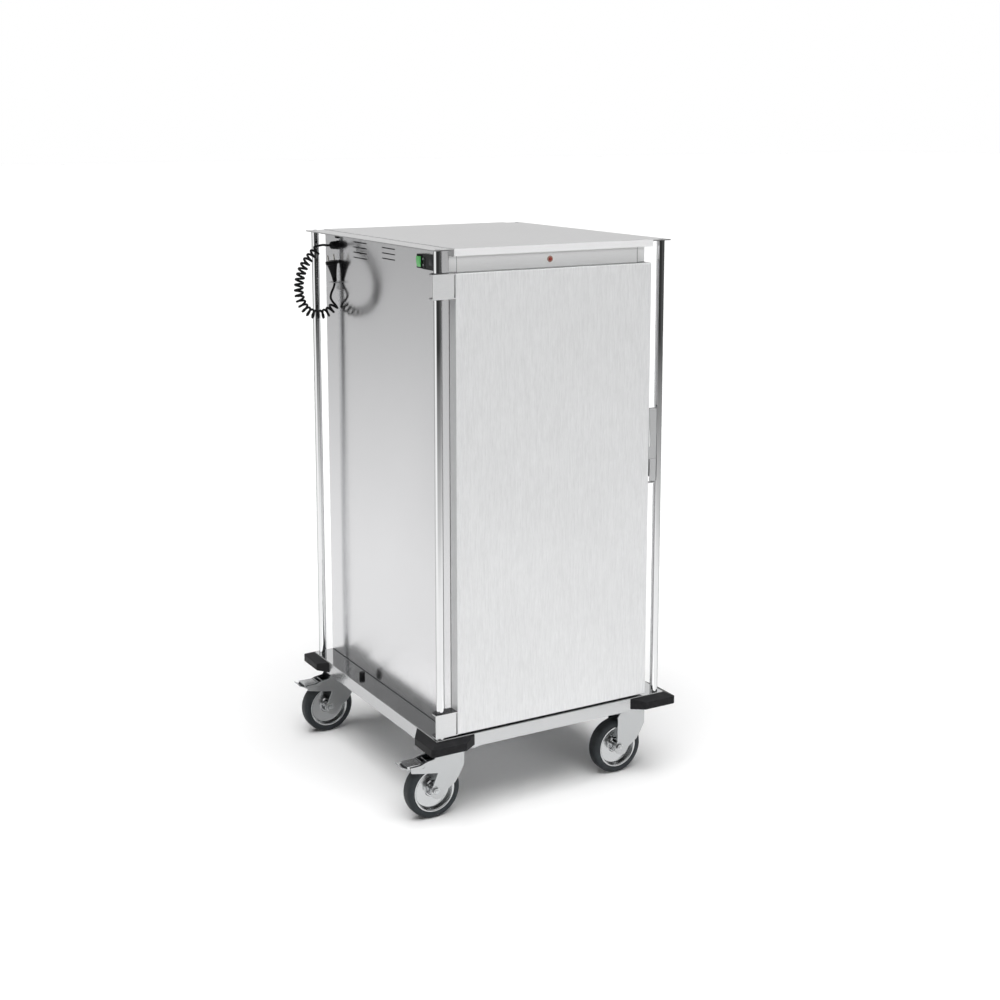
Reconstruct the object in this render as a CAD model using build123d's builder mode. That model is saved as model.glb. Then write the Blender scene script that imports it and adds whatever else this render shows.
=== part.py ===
"""Heated gastronorm tray trolley: an insulated fifteen-tray cabinet on a castor chassis with corner tubes.

Millimetres. X points right as seen from the door, Y to the back and Z up, with the floor at Z = 0.
"""

from build123d import *
import math
import os

os.makedirs("parts", exist_ok=True)

# Chassis
base_width = 750.0
base_depth = 830.0
base_top = 238.0
base_skirt = 38.0
base_sheet = 2.5
base_fold = 1.8
bumper_reach = 26.0
bumper_run = 117.5
bumper_cut = 38.0
bumper_bottom = 205.0
bumper_height = 31.0
bumper_bevel = 10.0
bumper_round = 10.0

# Corner tubes
tube_x = 353.0
tube_y = 396.0
tube_radius = 11.0
tube_wall = 1.5
tube_top = 1560.0
tube_plug = 30.0
screw_bore = 4.0

# Cabinet
body_half = 311.0
body_front = -377.0
body_back = 415.0
skin = 1.2
column_width = 25.0
back_return = 20.0
roof_sheet = 3.0
cover_sheet = 1.5
cover_half = 314.0
cover_front = -415.0
cover_bottom = 1545.0
cover_back = 418.0
compartment_floor = 1494.0
fascia_bottom = 1500.0

# Liner, racks and air circulation
liner_half = 281.0
liner_bottom = 269.0
liner_top = 1469.0
liner_back = 379.0
liner_sheet = 1.0
frame_sheet = 1.5
opening_half = 272.0
opening_bottom = 272.0
opening_top = 1468.0
tray_levels = 15
tray_pitch = 75.0
first_ledge = 310.0
runner_reach = 28.0
runner_front = -365.0
runner_back = 295.0
runner_sheet = 1.5
fan_z = 1240.0
fan_radius = 88.0
fan_blades = 12

# Door
door_half = 310.0
door_bottom = 244.0
door_top = 1500.0
door_front = -414.0
door_back = -380.0
gasket_middle = 279.0
gasket_width = 10.0
gasket_height = 2.7
bracket_left = -376.5
bracket_height = 66.0
bracket_sheet = 3.0
bush_radius = tube_radius + 2.0
hinge_fit = 0.05

# Castors
castor_x = 302.5
castor_y = 355.0
castor_trail = 58.5
wheel_radius = 80.0
wheel_width = 40.0
core_radius = wheel_radius - 18.5
rim_radius = wheel_radius - 24.0
rim_width = 38.0
web_sheet = 3.0
boss_radius = 22.0
boss_width = 10.0
hub_radius = 12.0
hub_width = 44.0
axle_radius = 6.0
axle_nut = 10.5
axle_head = 6.0
fork_width = 52.0
fork_taper = 24.0
fork_crease = 25.0
fork_sheet = 3.0
fork_top = 188.0
fork_bottom = 50.0
pedal_tip = 99.0
pedal_pin = (-38.0, 158.0)
pedal_pin_radius = 4.0
pedal_half = 22.0
pedal_sheet = 2.5
pedal_top = 166.5
pedal_rib = 1.5

# Connection cord and its plug, in a plane square to the left side panel
wire = 7.0
cord_y = 322.0
curl_radius = 11.5
curl_half_turns = 39
plug_length = 62.6

# The middle of everything between the pedal tips and the right-hand bumpers is the origin
pedal_reach = castor_x + castor_trail + pedal_tip
shift = (pedal_reach - base_width / 2 - bumper_reach) / 2
outlet_y = 320.0
outlet_z = 1523.0


def level(z):
    """Plane at height z, measured from the middle of the cabinet."""
    return Plane(origin=(shift, 0, z))


def front(y):
    """Plane facing the viewer at depth y, with x across and y up."""
    return Plane(origin=(shift, y, 0), x_dir=(1, 0, 0), z_dir=(0, -1, 0))


def side(x):
    """Plane facing right at x, with x to the back and y up."""
    return Plane(origin=(shift + x, 0, 0), x_dir=(0, 1, 0), z_dir=(1, 0, 0))


def upright_axis(x, y):
    """Vertical axis at a place of the cabinet."""
    return Axis((shift + x, y, 0), (0, 0, 1))


def turning_plane(x, y):
    """Upright plane whose origin is the foot of the vertical axis at x, y."""
    return Plane(origin=(shift + x, y, 0), x_dir=(1, 0, 0), z_dir=(0, -1, 0))


tube_places = [(x, y) for x in (-tube_x, tube_x) for y in (-tube_y, tube_y)]
hinge_place = tube_places[0]

# Base tray: a pressed sheet with its flange down
with BuildPart() as base_tray:
    with BuildSketch(level(base_top - base_skirt)):
        RectangleRounded(base_width, base_depth, 3)
    extrude(amount=base_skirt)
    fillet(base_tray.edges().group_by(Axis.Z)[-1], base_fold)
    offset(amount=-base_sheet, openings=base_tray.faces().sort_by(Axis.Z)[0])
    with BuildSketch(level(base_top)):
        with Locations(*tube_places):
            Circle(screw_bore + 0.2)
    extrude(amount=-base_sheet, mode=Mode.SUBTRACT)
base_tray.part.label = "base_tray"
export_step(base_tray.part, "parts/base_tray.step")

# Two channels under the tray carry the castors
channel_floor = base_top - base_skirt
channel_sheet = 3.0
channel_width = 112.0
channel_height = base_skirt - base_sheet
channel_half = base_width / 2 - base_sheet - 0.5
with BuildPart() as castor_channels:
    with BuildSketch(side(-channel_half)):
        with Locations((-castor_y, channel_floor), (castor_y, channel_floor)):
            Rectangle(channel_width, channel_height, align=(Align.CENTER, Align.MIN))
        with Locations((-castor_y, channel_floor + channel_sheet), (castor_y, channel_floor + channel_sheet)):
            Rectangle(
                channel_width - 2 * channel_sheet,
                channel_height,
                align=(Align.CENTER, Align.MIN),
                mode=Mode.SUBTRACT,
            )
    extrude(amount=2 * channel_half)
castor_channels.part.label = "castor_channels"
export_step(castor_channels.part, "parts/castor_channels.step")

# Rubber bumpers: an angle round each corner, bevelled to the top of the tray
bumper_x = base_width / 2 + bumper_reach
bumper_y = base_depth / 2 + bumper_reach
bumper_slope = 24.0
with BuildPart() as corner_bumpers:
    for sx in (-1, 1):
        for sy in (-1, 1):
            with BuildSketch(level(bumper_bottom)):
                with BuildLine():
                    Polyline(
                        (sx * base_width / 2, sy * base_depth / 2),
                        (sx * (base_width / 2 - bumper_run), sy * base_depth / 2),
                        (sx * (base_width / 2 - bumper_run + bumper_cut), sy * bumper_y),
                        (sx * bumper_x, sy * bumper_y),
                        (sx * bumper_x, sy * (base_depth / 2 - bumper_run + bumper_cut)),
                        (sx * base_width / 2, sy * (base_depth / 2 - bumper_run)),
                        close=True,
                    )
                make_face()
            extrude(amount=bumper_height)
    outer_corners = corner_bumpers.edges().filter_by(Axis.Z).filter_by(
        lambda edge: abs(edge.center().X - shift) > bumper_x - 1 and abs(edge.center().Y) > bumper_y - 1
    )
    fillet(outer_corners, bumper_round)
    with BuildSketch(level(bumper_bottom + bumper_height)):
        Rectangle(2 * (bumper_x - bumper_slope), 2 * (bumper_y - bumper_slope))
    extrude(
        amount=-bumper_height,
        taper=-math.degrees(math.atan(bumper_slope / bumper_bevel)),
        mode=Mode.INTERSECT,
    )
corner_bumpers.part.label = "corner_bumpers"
export_step(corner_bumpers.part, "parts/corner_bumpers.step")


def tube_outline():
    """Half section of a corner tube, with a bored plug welded into each end."""
    inner = tube_radius - tube_wall
    Polyline(
        (screw_bore, base_top),
        (tube_radius, base_top),
        (tube_radius, tube_top),
        (screw_bore, tube_top),
        (screw_bore, tube_top - tube_plug),
        (inner, tube_top - tube_plug),
        (inner, base_top + tube_plug),
        (screw_bore, base_top + tube_plug),
        close=True,
    )


# The front left tube is the door's hinge post, with a collar that carries the door
collar_height = 4.2
collar_radius = 15.0
with BuildPart() as hinge_post:
    with BuildSketch(turning_plane(*hinge_place)):
        with BuildLine():
            tube_outline()
        make_face()
    revolve(axis=upright_axis(*hinge_place))
    with BuildSketch(level(base_top)):
        with Locations(hinge_place):
            Circle(collar_radius)
            Circle(tube_radius, mode=Mode.SUBTRACT)
    extrude(amount=collar_height)
hinge_post.part.label = "hinge_post"
export_step(hinge_post.part, "parts/hinge_post.step")

with BuildPart() as corner_tubes:
    for place in tube_places[1:]:
        with BuildSketch(turning_plane(*place)):
            with BuildLine():
                tube_outline()
            make_face()
        revolve(axis=upright_axis(*place))
corner_tubes.part.label = "corner_tubes"
export_step(corner_tubes.part, "parts/corner_tubes.step")

# Flat-headed screws hold the roof plate on the tubes, hexagon screws the tubes on the tray
roof_top = tube_top + roof_sheet
screw_length = 25.0
screw_radius = screw_bore - 0.1
head_radius = 7.0
head_rise = 2.6
nut_radius = 7.5
nut_height = 6.0
with BuildPart() as tube_screws:
    with BuildSketch(level(roof_top)):
        with Locations(*tube_places):
            Circle(head_radius)
    extrude(amount=head_rise)
    with BuildSketch(level(base_top - base_sheet)):
        with Locations(*tube_places):
            RegularPolygon(nut_radius, 6)
    extrude(amount=-nut_height)
    with BuildSketch(level(roof_top - screw_length), level(base_top - base_sheet)):
        with Locations(*tube_places):
            Circle(screw_radius)
    extrude(amount=screw_length)
tube_screws.part.label = "tube_screws"
export_step(tube_screws.part, "parts/tube_screws.step")

# Roof plate on the tubes, notched at the front for the cover's box
roof_gap = 0.3
with BuildPart() as roof_plate:
    with BuildSketch(level(tube_top)):
        RectangleRounded(base_width, base_depth, 3)
        with Locations(*tube_places):
            Circle(screw_bore + 0.2, mode=Mode.SUBTRACT)
        with Locations((0, (cover_front + body_front) / 2)):
            Rectangle(
                2 * (cover_half + roof_gap), body_front - cover_front + 2 * roof_gap, mode=Mode.SUBTRACT
            )
    extrude(amount=roof_sheet)
roof_plate.part.label = "roof_plate"
export_step(roof_plate.part, "parts/roof_plate.step")

# Roof cover: a flat sheet as wide as the body that ends in a box over the door
cover_top = roof_top + cover_sheet
with BuildPart() as roof_cover:
    with BuildSketch(side(-cover_half)):
        with BuildLine():
            Polyline(
                (cover_back, cover_top),
                (cover_front, cover_top),
                (cover_front, cover_bottom),
                (body_front, cover_bottom),
            )
            offset(amount=cover_sheet, side=Side.LEFT)
        make_face()
    extrude(amount=2 * cover_half)
    for x in (-cover_half, cover_half - cover_sheet):
        with BuildSketch(side(x)):
            with Locations(((cover_front + body_front) / 2, cover_bottom)):
                Rectangle(
                    body_front - cover_front,
                    cover_top - cover_bottom,
                    align=(Align.CENTER, Align.MIN),
                )
        extrude(amount=cover_sheet)
roof_cover.part.label = "roof_cover"
export_step(roof_cover.part, "parts/roof_cover.step")

# Side panels: folded sheets with a column at the front and a return at the back
switch_y = -224.0
switch_z = 1518.0
controller_y = -278.5
controller_z = 1519.0
switch_body = (24.6, 32.6)
switch_fit = 0.2
controller_width = 77.0
controller_height = 42.0
controller_step = 3.2
controller_fit = 0.2
gland_thread = 8.0
gland_fit = 0.2
vent_groups = [(168.0, 92.0, (1495, 1510, 1525, 1540)), (-20.7, 81.8, (1507, 1522, 1537, 1550))]
vent_slot = 3.0
for name, sx in (("side_panel_left", -1), ("side_panel_right", 1)):
    with BuildPart() as side_panel:
        with BuildSketch(level(base_top)):
            with BuildLine():
                Polyline(
                    (sx * (body_half - column_width), body_front),
                    (sx * body_half, body_front),
                    (sx * body_half, body_back),
                    (sx * (body_half - back_return), body_back),
                )
                offset(amount=skin, side=Side.LEFT if sx > 0 else Side.RIGHT)
            make_face()
        extrude(amount=tube_top - base_top)
        if sx < 0:
            with BuildSketch(side(-body_half)):
                for vent_y, vent_width, vent_rows in vent_groups:
                    with Locations(*[(vent_y, z) for z in vent_rows]):
                        Rectangle(vent_width, vent_slot)
                with Locations((switch_y, switch_z)):
                    Rectangle(switch_body[0] + 2 * switch_fit, switch_body[1] + 2 * switch_fit)
                with Locations((controller_y, controller_z)):
                    Rectangle(
                        controller_width - 2 * (controller_step - controller_fit),
                        controller_height - 2 * (controller_step - controller_fit),
                    )
                with Locations((outlet_y, outlet_z)):
                    Circle(gland_thread + gland_fit)
            extrude(amount=skin, mode=Mode.SUBTRACT)
    side_panel.part.label = name
    export_step(side_panel.part, f"parts/{name}.step")

# Back panel, let in between the two side panels
back_gap = 1.5
with BuildPart() as back_panel:
    with BuildSketch(front(body_back - skin)):
        with Locations((0, base_top)):
            Rectangle(2 * (body_half - back_gap), tube_top - base_top, align=(Align.CENTER, Align.MIN))
    extrude(amount=skin)
back_panel.part.label = "back_panel"
export_step(back_panel.part, "parts/back_panel.step")

# Fascia over the door, with the hole of the pilot lamp
lamp_z = 1521.6
lamp_hole = 6.2
fascia_half = body_half - column_width
fascia_fold = 12.0
with BuildPart() as fascia:
    with BuildSketch(side(-fascia_half)):
        with BuildLine():
            Polyline(
                (body_front + fascia_fold, fascia_bottom),
                (body_front, fascia_bottom),
                (body_front, tube_top),
                (body_front + fascia_fold, tube_top),
            )
            offset(amount=skin, side=Side.RIGHT)
        make_face()
    extrude(amount=2 * fascia_half)
    with BuildSketch(front(body_front)):
        with Locations((0, lamp_z)):
            Circle(lamp_hole)
    extrude(amount=-skin, mode=Mode.SUBTRACT)
fascia.part.label = "fascia"
export_step(fascia.part, "parts/fascia.step")

# Front frame: the steel strip that the magnetic gasket closes on
with BuildPart() as front_frame:
    with BuildSketch(front(body_front)):
        with Locations((0, base_top)):
            Rectangle(2 * fascia_half, fascia_bottom - base_top, align=(Align.CENTER, Align.MIN))
        with Locations((0, opening_bottom)):
            Rectangle(
                2 * opening_half,
                opening_top - opening_bottom,
                align=(Align.CENTER, Align.MIN),
                mode=Mode.SUBTRACT,
            )
    extrude(amount=-frame_sheet)
front_frame.part.label = "front_frame"
export_step(front_frame.part, "parts/front_frame.step")

# Inner liner: a seamless box, open to the door
liner_front = body_front + frame_sheet
shaft_hole = 8.0
with BuildPart() as inner_liner:
    with BuildSketch(front(liner_back)):
        with Locations((0, liner_bottom)):
            Rectangle(2 * liner_half, liner_top - liner_bottom, align=(Align.CENTER, Align.MIN))
    extrude(amount=liner_back - liner_front)
    offset(amount=-liner_sheet, openings=inner_liner.faces().sort_by(Axis.Y)[0])
    with BuildSketch(front(liner_back)):
        with Locations((0, fan_z)):
            Circle(shaft_hole)
    extrude(amount=liner_sheet, mode=Mode.SUBTRACT)
inner_liner.part.label = "inner_liner"
export_step(inner_liner.part, "parts/inner_liner.step")

# Insulation fills the space between the liner and the skins
insulation_half = body_half - skin
insulation_back = body_back - 2 * skin
motor_radius = 35.0
motor_gap = 1.0
with BuildPart() as insulation:
    with BuildSketch(front(insulation_back)):
        with Locations((0, base_top)):
            Rectangle(
                2 * insulation_half,
                compartment_floor - base_top,
                align=(Align.CENTER, Align.MIN),
            )
    extrude(amount=insulation_back - liner_front)
    with BuildSketch(front(liner_back)):
        with Locations((0, liner_bottom)):
            Rectangle(2 * liner_half, liner_top - liner_bottom, align=(Align.CENTER, Align.MIN))
    extrude(amount=liner_back - liner_front, mode=Mode.SUBTRACT)
    with BuildSketch(front(insulation_back)):
        with Locations((0, fan_z)):
            Circle(motor_radius + motor_gap)
    extrude(amount=insulation_back - liner_back, mode=Mode.SUBTRACT)
insulation.part.label = "insulation"
export_step(insulation.part, "parts/insulation.step")

# Racks: fifteen pairs of angle runners on upright strips, one node for each wall
liner_inside = liner_half - liner_sheet
upright_sheet = 2.0
upright_width = 30.0
upright_places = (-300.0, 230.0)
runner_leg = 20.0
upright_reach = 30.0
for name, sx in (("rack_left", -1), ("rack_right", 1)):
    with BuildPart() as rack:
        rack_wall = liner_inside - upright_sheet - 0.1
        for y in upright_places:
            with BuildSketch(level(first_ledge - upright_reach)):
                with Locations((sx * (liner_inside - upright_sheet / 2), y)):
                    Rectangle(upright_sheet, upright_width)
            extrude(amount=(tray_levels - 1) * tray_pitch + 2 * upright_reach)
        with BuildSketch(front(runner_front)):
            for row in range(tray_levels):
                ledge = first_ledge + row * tray_pitch
                with BuildLine():
                    Polyline(
                        (sx * rack_wall, ledge - runner_leg),
                        (sx * rack_wall, ledge),
                        (sx * (rack_wall - runner_reach), ledge),
                        (sx * (rack_wall - runner_reach), ledge - runner_sheet),
                        (sx * (rack_wall - runner_sheet), ledge - runner_sheet),
                        (sx * (rack_wall - runner_sheet), ledge - runner_leg),
                        close=True,
                    )
                make_face()
        extrude(amount=-(runner_back - runner_front))
    rack.part.label = name
    export_step(rack.part, f"parts/{name}.step")

# Air guide: a folded sheet over the fan, with an inlet grille and side outlets
guide_half = 275.0
guide_front = 306.0
guide_sheet = 1.5
guide_bottom = 290.0
guide_height = 1160.0
inlet_rows = range(-3, 4)
inlet_pitch = 20.0
inlet_radius = 75.0
inlet_slot = 9.0
outlet_rows = 7
outlet_apart = 480.0
outlet_slot = (12.0, 90.0)
with BuildPart() as air_guide:
    with BuildSketch(level(guide_bottom)):
        with BuildLine():
            Polyline(
                (guide_half, liner_back - liner_sheet),
                (guide_half, guide_front),
                (-guide_half, guide_front),
                (-guide_half, liner_back - liner_sheet),
            )
            offset(amount=guide_sheet, side=Side.RIGHT)
        make_face()
    extrude(amount=guide_height)
    with BuildSketch(front(guide_front)):
        for row in inlet_rows:
            row_z = row * inlet_pitch
            with Locations((0, fan_z + row_z)):
                Rectangle(2 * math.sqrt(inlet_radius**2 - row_z**2), inlet_slot)
        with Locations((0, guide_bottom + guide_height / 2)):
            with GridLocations(outlet_apart, guide_height / outlet_rows, 2, outlet_rows):
                Rectangle(*outlet_slot)
    extrude(amount=-guide_sheet, mode=Mode.SUBTRACT)
air_guide.part.label = "air_guide"
export_step(air_guide.part, "parts/air_guide.step")

# Fan motor behind the liner, bored for the wheel's shaft
shaft_radius = 5.0
shaft_reach = 13.0
with BuildPart() as fan_motor:
    with BuildSketch(front(insulation_back)):
        with Locations((0, fan_z)):
            Circle(motor_radius)
    extrude(amount=insulation_back - liner_back)
    with BuildSketch(front(liner_back)):
        with Locations((0, fan_z)):
            Circle(shaft_radius + 0.1)
    extrude(amount=-shaft_reach - motor_gap, mode=Mode.SUBTRACT)
fan_motor.part.label = "fan_motor"
export_step(fan_motor.part, "parts/fan_motor.step")

# Fan wheel: a backing disc with backward blades on a hub
disc_back = 364.0
disc_sheet = 2.0
blade_depth = 36.0
blade_length = 34.0
blade_sheet = 1.5
blade_angle = 52.0
blade_inset = 25.0
hub_sides = 14.0
hub_depth = 20.0
with BuildPart() as fan_wheel:
    with BuildSketch(front(disc_back)):
        with Locations((0, fan_z)):
            RegularPolygon(fan_radius, fan_blades)
    extrude(amount=disc_sheet)
    with BuildSketch(front(disc_back)):
        with Locations((0, fan_z)):
            with PolarLocations(fan_radius - blade_inset, fan_blades):
                Rectangle(blade_length, blade_sheet, rotation=blade_angle)
    extrude(amount=blade_depth)
    with BuildSketch(front(disc_back)):
        with Locations((0, fan_z)):
            RegularPolygon(hub_sides, fan_blades)
    extrude(amount=hub_depth)
    with BuildSketch(front(disc_back)):
        with Locations((0, fan_z)):
            Circle(shaft_radius)
    extrude(amount=-(liner_back + shaft_reach - disc_back))
fan_wheel.part.label = "fan_wheel"
export_step(fan_wheel.part, "parts/fan_wheel.step")

# Heater bars: finned strips each side of the fan, on feet from the liner
heater_x = 150.0
heater_y = 344.0
heater_low = 1100.0
heater_length = 280.0
heater_bar = (12.0, 10.0)
heater_fin = (40.0, 30.0)
fin_count = 7
fin_pitch = 34.0
fin_start = 38.0
foot_height = 10.0
foot_back = liner_back - liner_sheet
foot_front = heater_y + heater_bar[1] / 2
with BuildPart() as heater_bars:
    for sx in (-1, 1):
        with BuildSketch(level(heater_low)):
            with Locations((sx * heater_x, heater_y)):
                Rectangle(*heater_bar)
        extrude(amount=heater_length)
        for fin in range(fin_count):
            with BuildSketch(level(heater_low + fin_start + fin * fin_pitch)):
                with Locations((sx * heater_x, heater_y)):
                    Rectangle(*heater_fin)
            extrude(amount=1)
        for foot in (foot_height, heater_length - 2 * foot_height):
            with BuildSketch(level(heater_low + foot)):
                with Locations((sx * heater_x, (foot_front + foot_back) / 2)):
                    Rectangle(heater_bar[0], foot_back - foot_front)
            extrude(amount=foot_height)
heater_bars.part.label = "heater_bars"
export_step(heater_bars.part, "parts/heater_bars.step")


# Pilot lamp: a flanged bezel through the fascia, with a faceted cap in it
bezel_reach = 12.0
bezel_flange = 8.8
bezel_rise = 2.6
lens_radius = lamp_hole - 1.25
lens_rise = 2.0
lens_taper = 55.0
lens_sides = 16
with BuildPart() as pilot_bezel:
    with BuildSketch(front(body_front)):
        with Locations((0, lamp_z)):
            Circle(bezel_flange)
    extrude(amount=bezel_rise)
    with BuildSketch(front(body_front)):
        with Locations((0, lamp_z)):
            Circle(lamp_hole - 0.1)
    extrude(amount=-bezel_reach)
    with BuildSketch(front(body_front - bezel_rise)):
        with Locations((0, lamp_z)):
            Circle(lens_radius + 0.05)
    extrude(amount=-bezel_reach - bezel_rise, mode=Mode.SUBTRACT)
pilot_bezel.part.label = "pilot_bezel"
export_step(pilot_bezel.part, "parts/pilot_bezel.step")

with BuildPart() as pilot_lens:
    with BuildSketch(front(body_front - bezel_rise)):
        with Locations((0, lamp_z)):
            RegularPolygon(lens_radius, lens_sides)
    extrude(amount=-bezel_reach / 2 - bezel_rise)
    with BuildSketch(front(body_front - bezel_rise)):
        with Locations((0, lamp_z)):
            RegularPolygon(lens_radius, lens_sides)
    extrude(amount=lens_rise, taper=lens_taper)
pilot_lens.part.label = "pilot_lens"
export_step(pilot_lens.part, "parts/pilot_lens.step")

# Rocker switch: a frame clipped in the side panel, and a key that rocks on two trunnions
switch_proud = 8.0
switch_face = (30.0, 38.0)
switch_mouth = (21.0, 30.4)
switch_depth = 18.0
switch_hollow = 14.0
switch_pin_x = -body_half - 1.0
switch_pin_radius = 1.5
key_width = 20.2
key_half = 14.2
key_pin_reach = 1.2
key_tilt = 6.0
with BuildPart() as switch_frame:
    with BuildSketch(side(-body_half)):
        with Locations((switch_y, switch_z)):
            Rectangle(*switch_face)
    extrude(amount=-switch_proud)
    chamfer(switch_frame.faces().sort_by(Axis.X)[0].edges(), 1.2)
    with BuildSketch(side(-body_half)):
        with Locations((switch_y, switch_z)):
            Rectangle(*switch_body)
    extrude(amount=switch_depth)
    with BuildSketch(side(-body_half - switch_proud)):
        with Locations((switch_y, switch_z)):
            Rectangle(*switch_mouth)
    extrude(amount=switch_proud + switch_hollow, mode=Mode.SUBTRACT)
    with BuildSketch(front(switch_y)):
        with Locations((switch_pin_x, switch_z)):
            Circle(switch_pin_radius + 0.1)
    extrude(amount=key_width / 2 + key_pin_reach + 0.3, both=True, mode=Mode.SUBTRACT)
switch_frame.part.label = "switch_frame"
export_step(switch_frame.part, "parts/switch_frame.step")

key_plane = Plane(
    origin=(shift + switch_pin_x, switch_y + key_width / 2, switch_z),
    x_dir=(math.cos(math.radians(key_tilt)), 0, math.sin(math.radians(key_tilt))),
    z_dir=(0, -1, 0),
)
with BuildPart() as switch_key:
    with BuildSketch(key_plane):
        with BuildLine():
            face = ThreePointArc((-9.0, -key_half), (-10.6, 0), (-9.0, key_half))
            Polyline(face @ 1, (2, key_half), (6, 0), (2, -key_half), face @ 0)
        make_face()
    extrude(amount=key_width)
    with BuildSketch(key_plane.offset(-key_pin_reach)):
        Circle(switch_pin_radius)
    extrude(amount=key_width + 2 * key_pin_reach)
switch_key.part.label = "switch_key"
export_step(switch_key.part, "parts/switch_key.step")

# Controller: a bezel with a recessed window and two sprung keys in a column
controller_proud = 6.0
controller_depth = 40.0
window_size = (58.0, 32.0)
window_middle = (controller_y - 3.5, controller_z - 2.0)
window_depth = 1.2
button_y = -245.0
button_rows = {"controller_key_upper": 1525.5, "controller_key_lower": 1509.0}
button_width = 6.0
button_length = 5.0
button_proud = 1.2
with BuildPart() as controller_case:
    with BuildSketch(side(-body_half)):
        with Locations((controller_y, controller_z)):
            RectangleRounded(controller_width, controller_height, 2)
    extrude(amount=-controller_proud)
    with BuildSketch(side(-body_half)):
        with Locations((controller_y, controller_z)):
            Rectangle(controller_width - 2 * controller_step, controller_height - 2 * controller_step)
    extrude(amount=controller_depth)
    with BuildSketch(side(-body_half - controller_proud)):
        with Locations(window_middle):
            RectangleRounded(*window_size, 1.5)
    extrude(amount=window_depth, mode=Mode.SUBTRACT)
    with BuildSketch(side(-body_half - controller_proud)):
        with Locations(*[(button_y, z) for z in button_rows.values()]):
            Rectangle(button_width + 0.6, button_width + 0.6)
    extrude(amount=button_length, mode=Mode.SUBTRACT)
controller_case.part.label = "controller_case"
export_step(controller_case.part, "parts/controller_case.step")

for name, z in button_rows.items():
    with BuildPart() as button:
        with BuildSketch(side(-body_half - controller_proud - button_proud)):
            with Locations((button_y, z)):
                RectangleRounded(button_width, button_width, 0.8)
        extrude(amount=button_length)
    button.part.label = name
    export_step(button.part, f"parts/{name}.step")

# Cable gland: hexagon, sixteen-sided cap and dome, screwed through the panel on a nut
gland_length = 27.0
gland_body = (13.5, 7.0)
gland_cap = (12.0, 11.0)
gland_neck = 11.2
gland_taper = 32.0
gland_nut = (12.0, 6.0)
gland_sides = 16
gland_plane = Plane(
    origin=(shift - body_half, outlet_y, outlet_z), x_dir=(0, 1, 0), z_dir=(-1, 0, 0)
)
with BuildPart() as cord_gland:
    with BuildSketch(gland_plane):
        RegularPolygon(gland_body[0], 6)
    extrude(amount=gland_body[1])
    with BuildSketch(gland_plane.offset(gland_body[1])):
        RegularPolygon(gland_cap[0], gland_sides)
    extrude(amount=gland_cap[1])
    with BuildSketch(gland_plane.offset(gland_body[1] + gland_cap[1])):
        RegularPolygon(gland_neck, gland_sides)
    extrude(amount=gland_length - gland_body[1] - gland_cap[1], taper=gland_taper)
    with BuildSketch(gland_plane):
        Circle(gland_thread)
    extrude(amount=-2 * gland_nut[1])
    with BuildSketch(gland_plane.offset(-skin)):
        RegularPolygon(gland_nut[0], 6)
    extrude(amount=-gland_nut[1])
cord_gland.part.label = "cord_gland"
export_step(cord_gland.part, "parts/cord_gland.step")

# Rubber buffer that stops the opened door
buffer_x = -340.0
buffer_y = 133.0
buffer_radius = 8.5
buffer_height = 15.0
with BuildPart() as door_buffer:
    with BuildSketch(level(base_top)):
        with Locations((buffer_x, buffer_y)):
            Circle(buffer_radius)
    extrude(amount=buffer_height)
door_buffer.part.label = "door_buffer"
export_step(door_buffer.part, "parts/door_buffer.step")

# Door skin: a deep pan with soft edges, open to the back
door_middle = (door_bottom + door_top) / 2
door_height = door_top - door_bottom
door_round = 2.0
with BuildPart() as door_skin:
    with BuildSketch(front(door_back)):
        with Locations((0, door_middle)):
            Rectangle(2 * door_half, door_height)
    extrude(amount=door_back - door_front)
    fillet(door_skin.faces().sort_by(Axis.Y)[0].edges(), door_round)
    offset(amount=-skin, openings=door_skin.faces().sort_by(Axis.Y)[-1])
door_skin.part.label = "door_skin"
export_step(door_skin.part, "parts/door_skin.step")

# Inner skin of the door, pressed out towards the trays
pan_half = door_half - skin
pan_height = door_height - 2 * skin
bulge_half = 268.0
bulge_height = 1192.0
bulge_depth = 10.0
bulge_taper = 30.0
with BuildPart() as door_liner:
    with BuildSketch(front(door_back)):
        with Locations((0, door_middle)):
            Rectangle(2 * pan_half, pan_height)
    extrude(amount=skin)
    with BuildSketch(front(door_back)):
        with Locations((0, door_middle)):
            Rectangle(2 * bulge_half, bulge_height)
    extrude(amount=-bulge_depth, taper=bulge_taper)
    with BuildSketch(front(door_back - skin)):
        with Locations((0, door_middle)):
            Rectangle(2 * bulge_half - 2, bulge_height - 2)
    extrude(amount=-bulge_depth, taper=bulge_taper, mode=Mode.SUBTRACT)
door_liner.part.label = "door_liner"
export_step(door_liner.part, "parts/door_liner.step")

with BuildPart() as door_core:
    with BuildSketch(front(door_back - skin)):
        with Locations((0, door_middle)):
            Rectangle(2 * pan_half - 2, pan_height - 2)
    extrude(amount=door_back - door_front - 2 * skin)
    with BuildSketch(front(door_back - skin)):
        with Locations((0, door_middle)):
            Rectangle(2 * bulge_half - 2, bulge_height - 2)
    extrude(amount=-bulge_depth, taper=bulge_taper)
door_core.part.label = "door_core"
export_step(door_core.part, "parts/door_core.step")

# Magnetic gasket: a ring with bevelled edges on the inner skin
gasket_low = 263.0
gasket_high = 1477.0
with BuildPart() as door_gasket:
    with BuildSketch(front(door_back)):
        with Locations((0, (gasket_low + gasket_high) / 2)):
            Rectangle(2 * gasket_middle + gasket_width, gasket_high - gasket_low + gasket_width)
            Rectangle(
                2 * gasket_middle - gasket_width,
                gasket_high - gasket_low - gasket_width,
                mode=Mode.SUBTRACT,
            )
    extrude(amount=-gasket_height)
    chamfer(door_gasket.faces().sort_by(Axis.Y)[-1].edges(), 1)
door_gasket.part.label = "door_gasket"
export_step(door_gasket.part, "parts/door_gasket.step")

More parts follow.
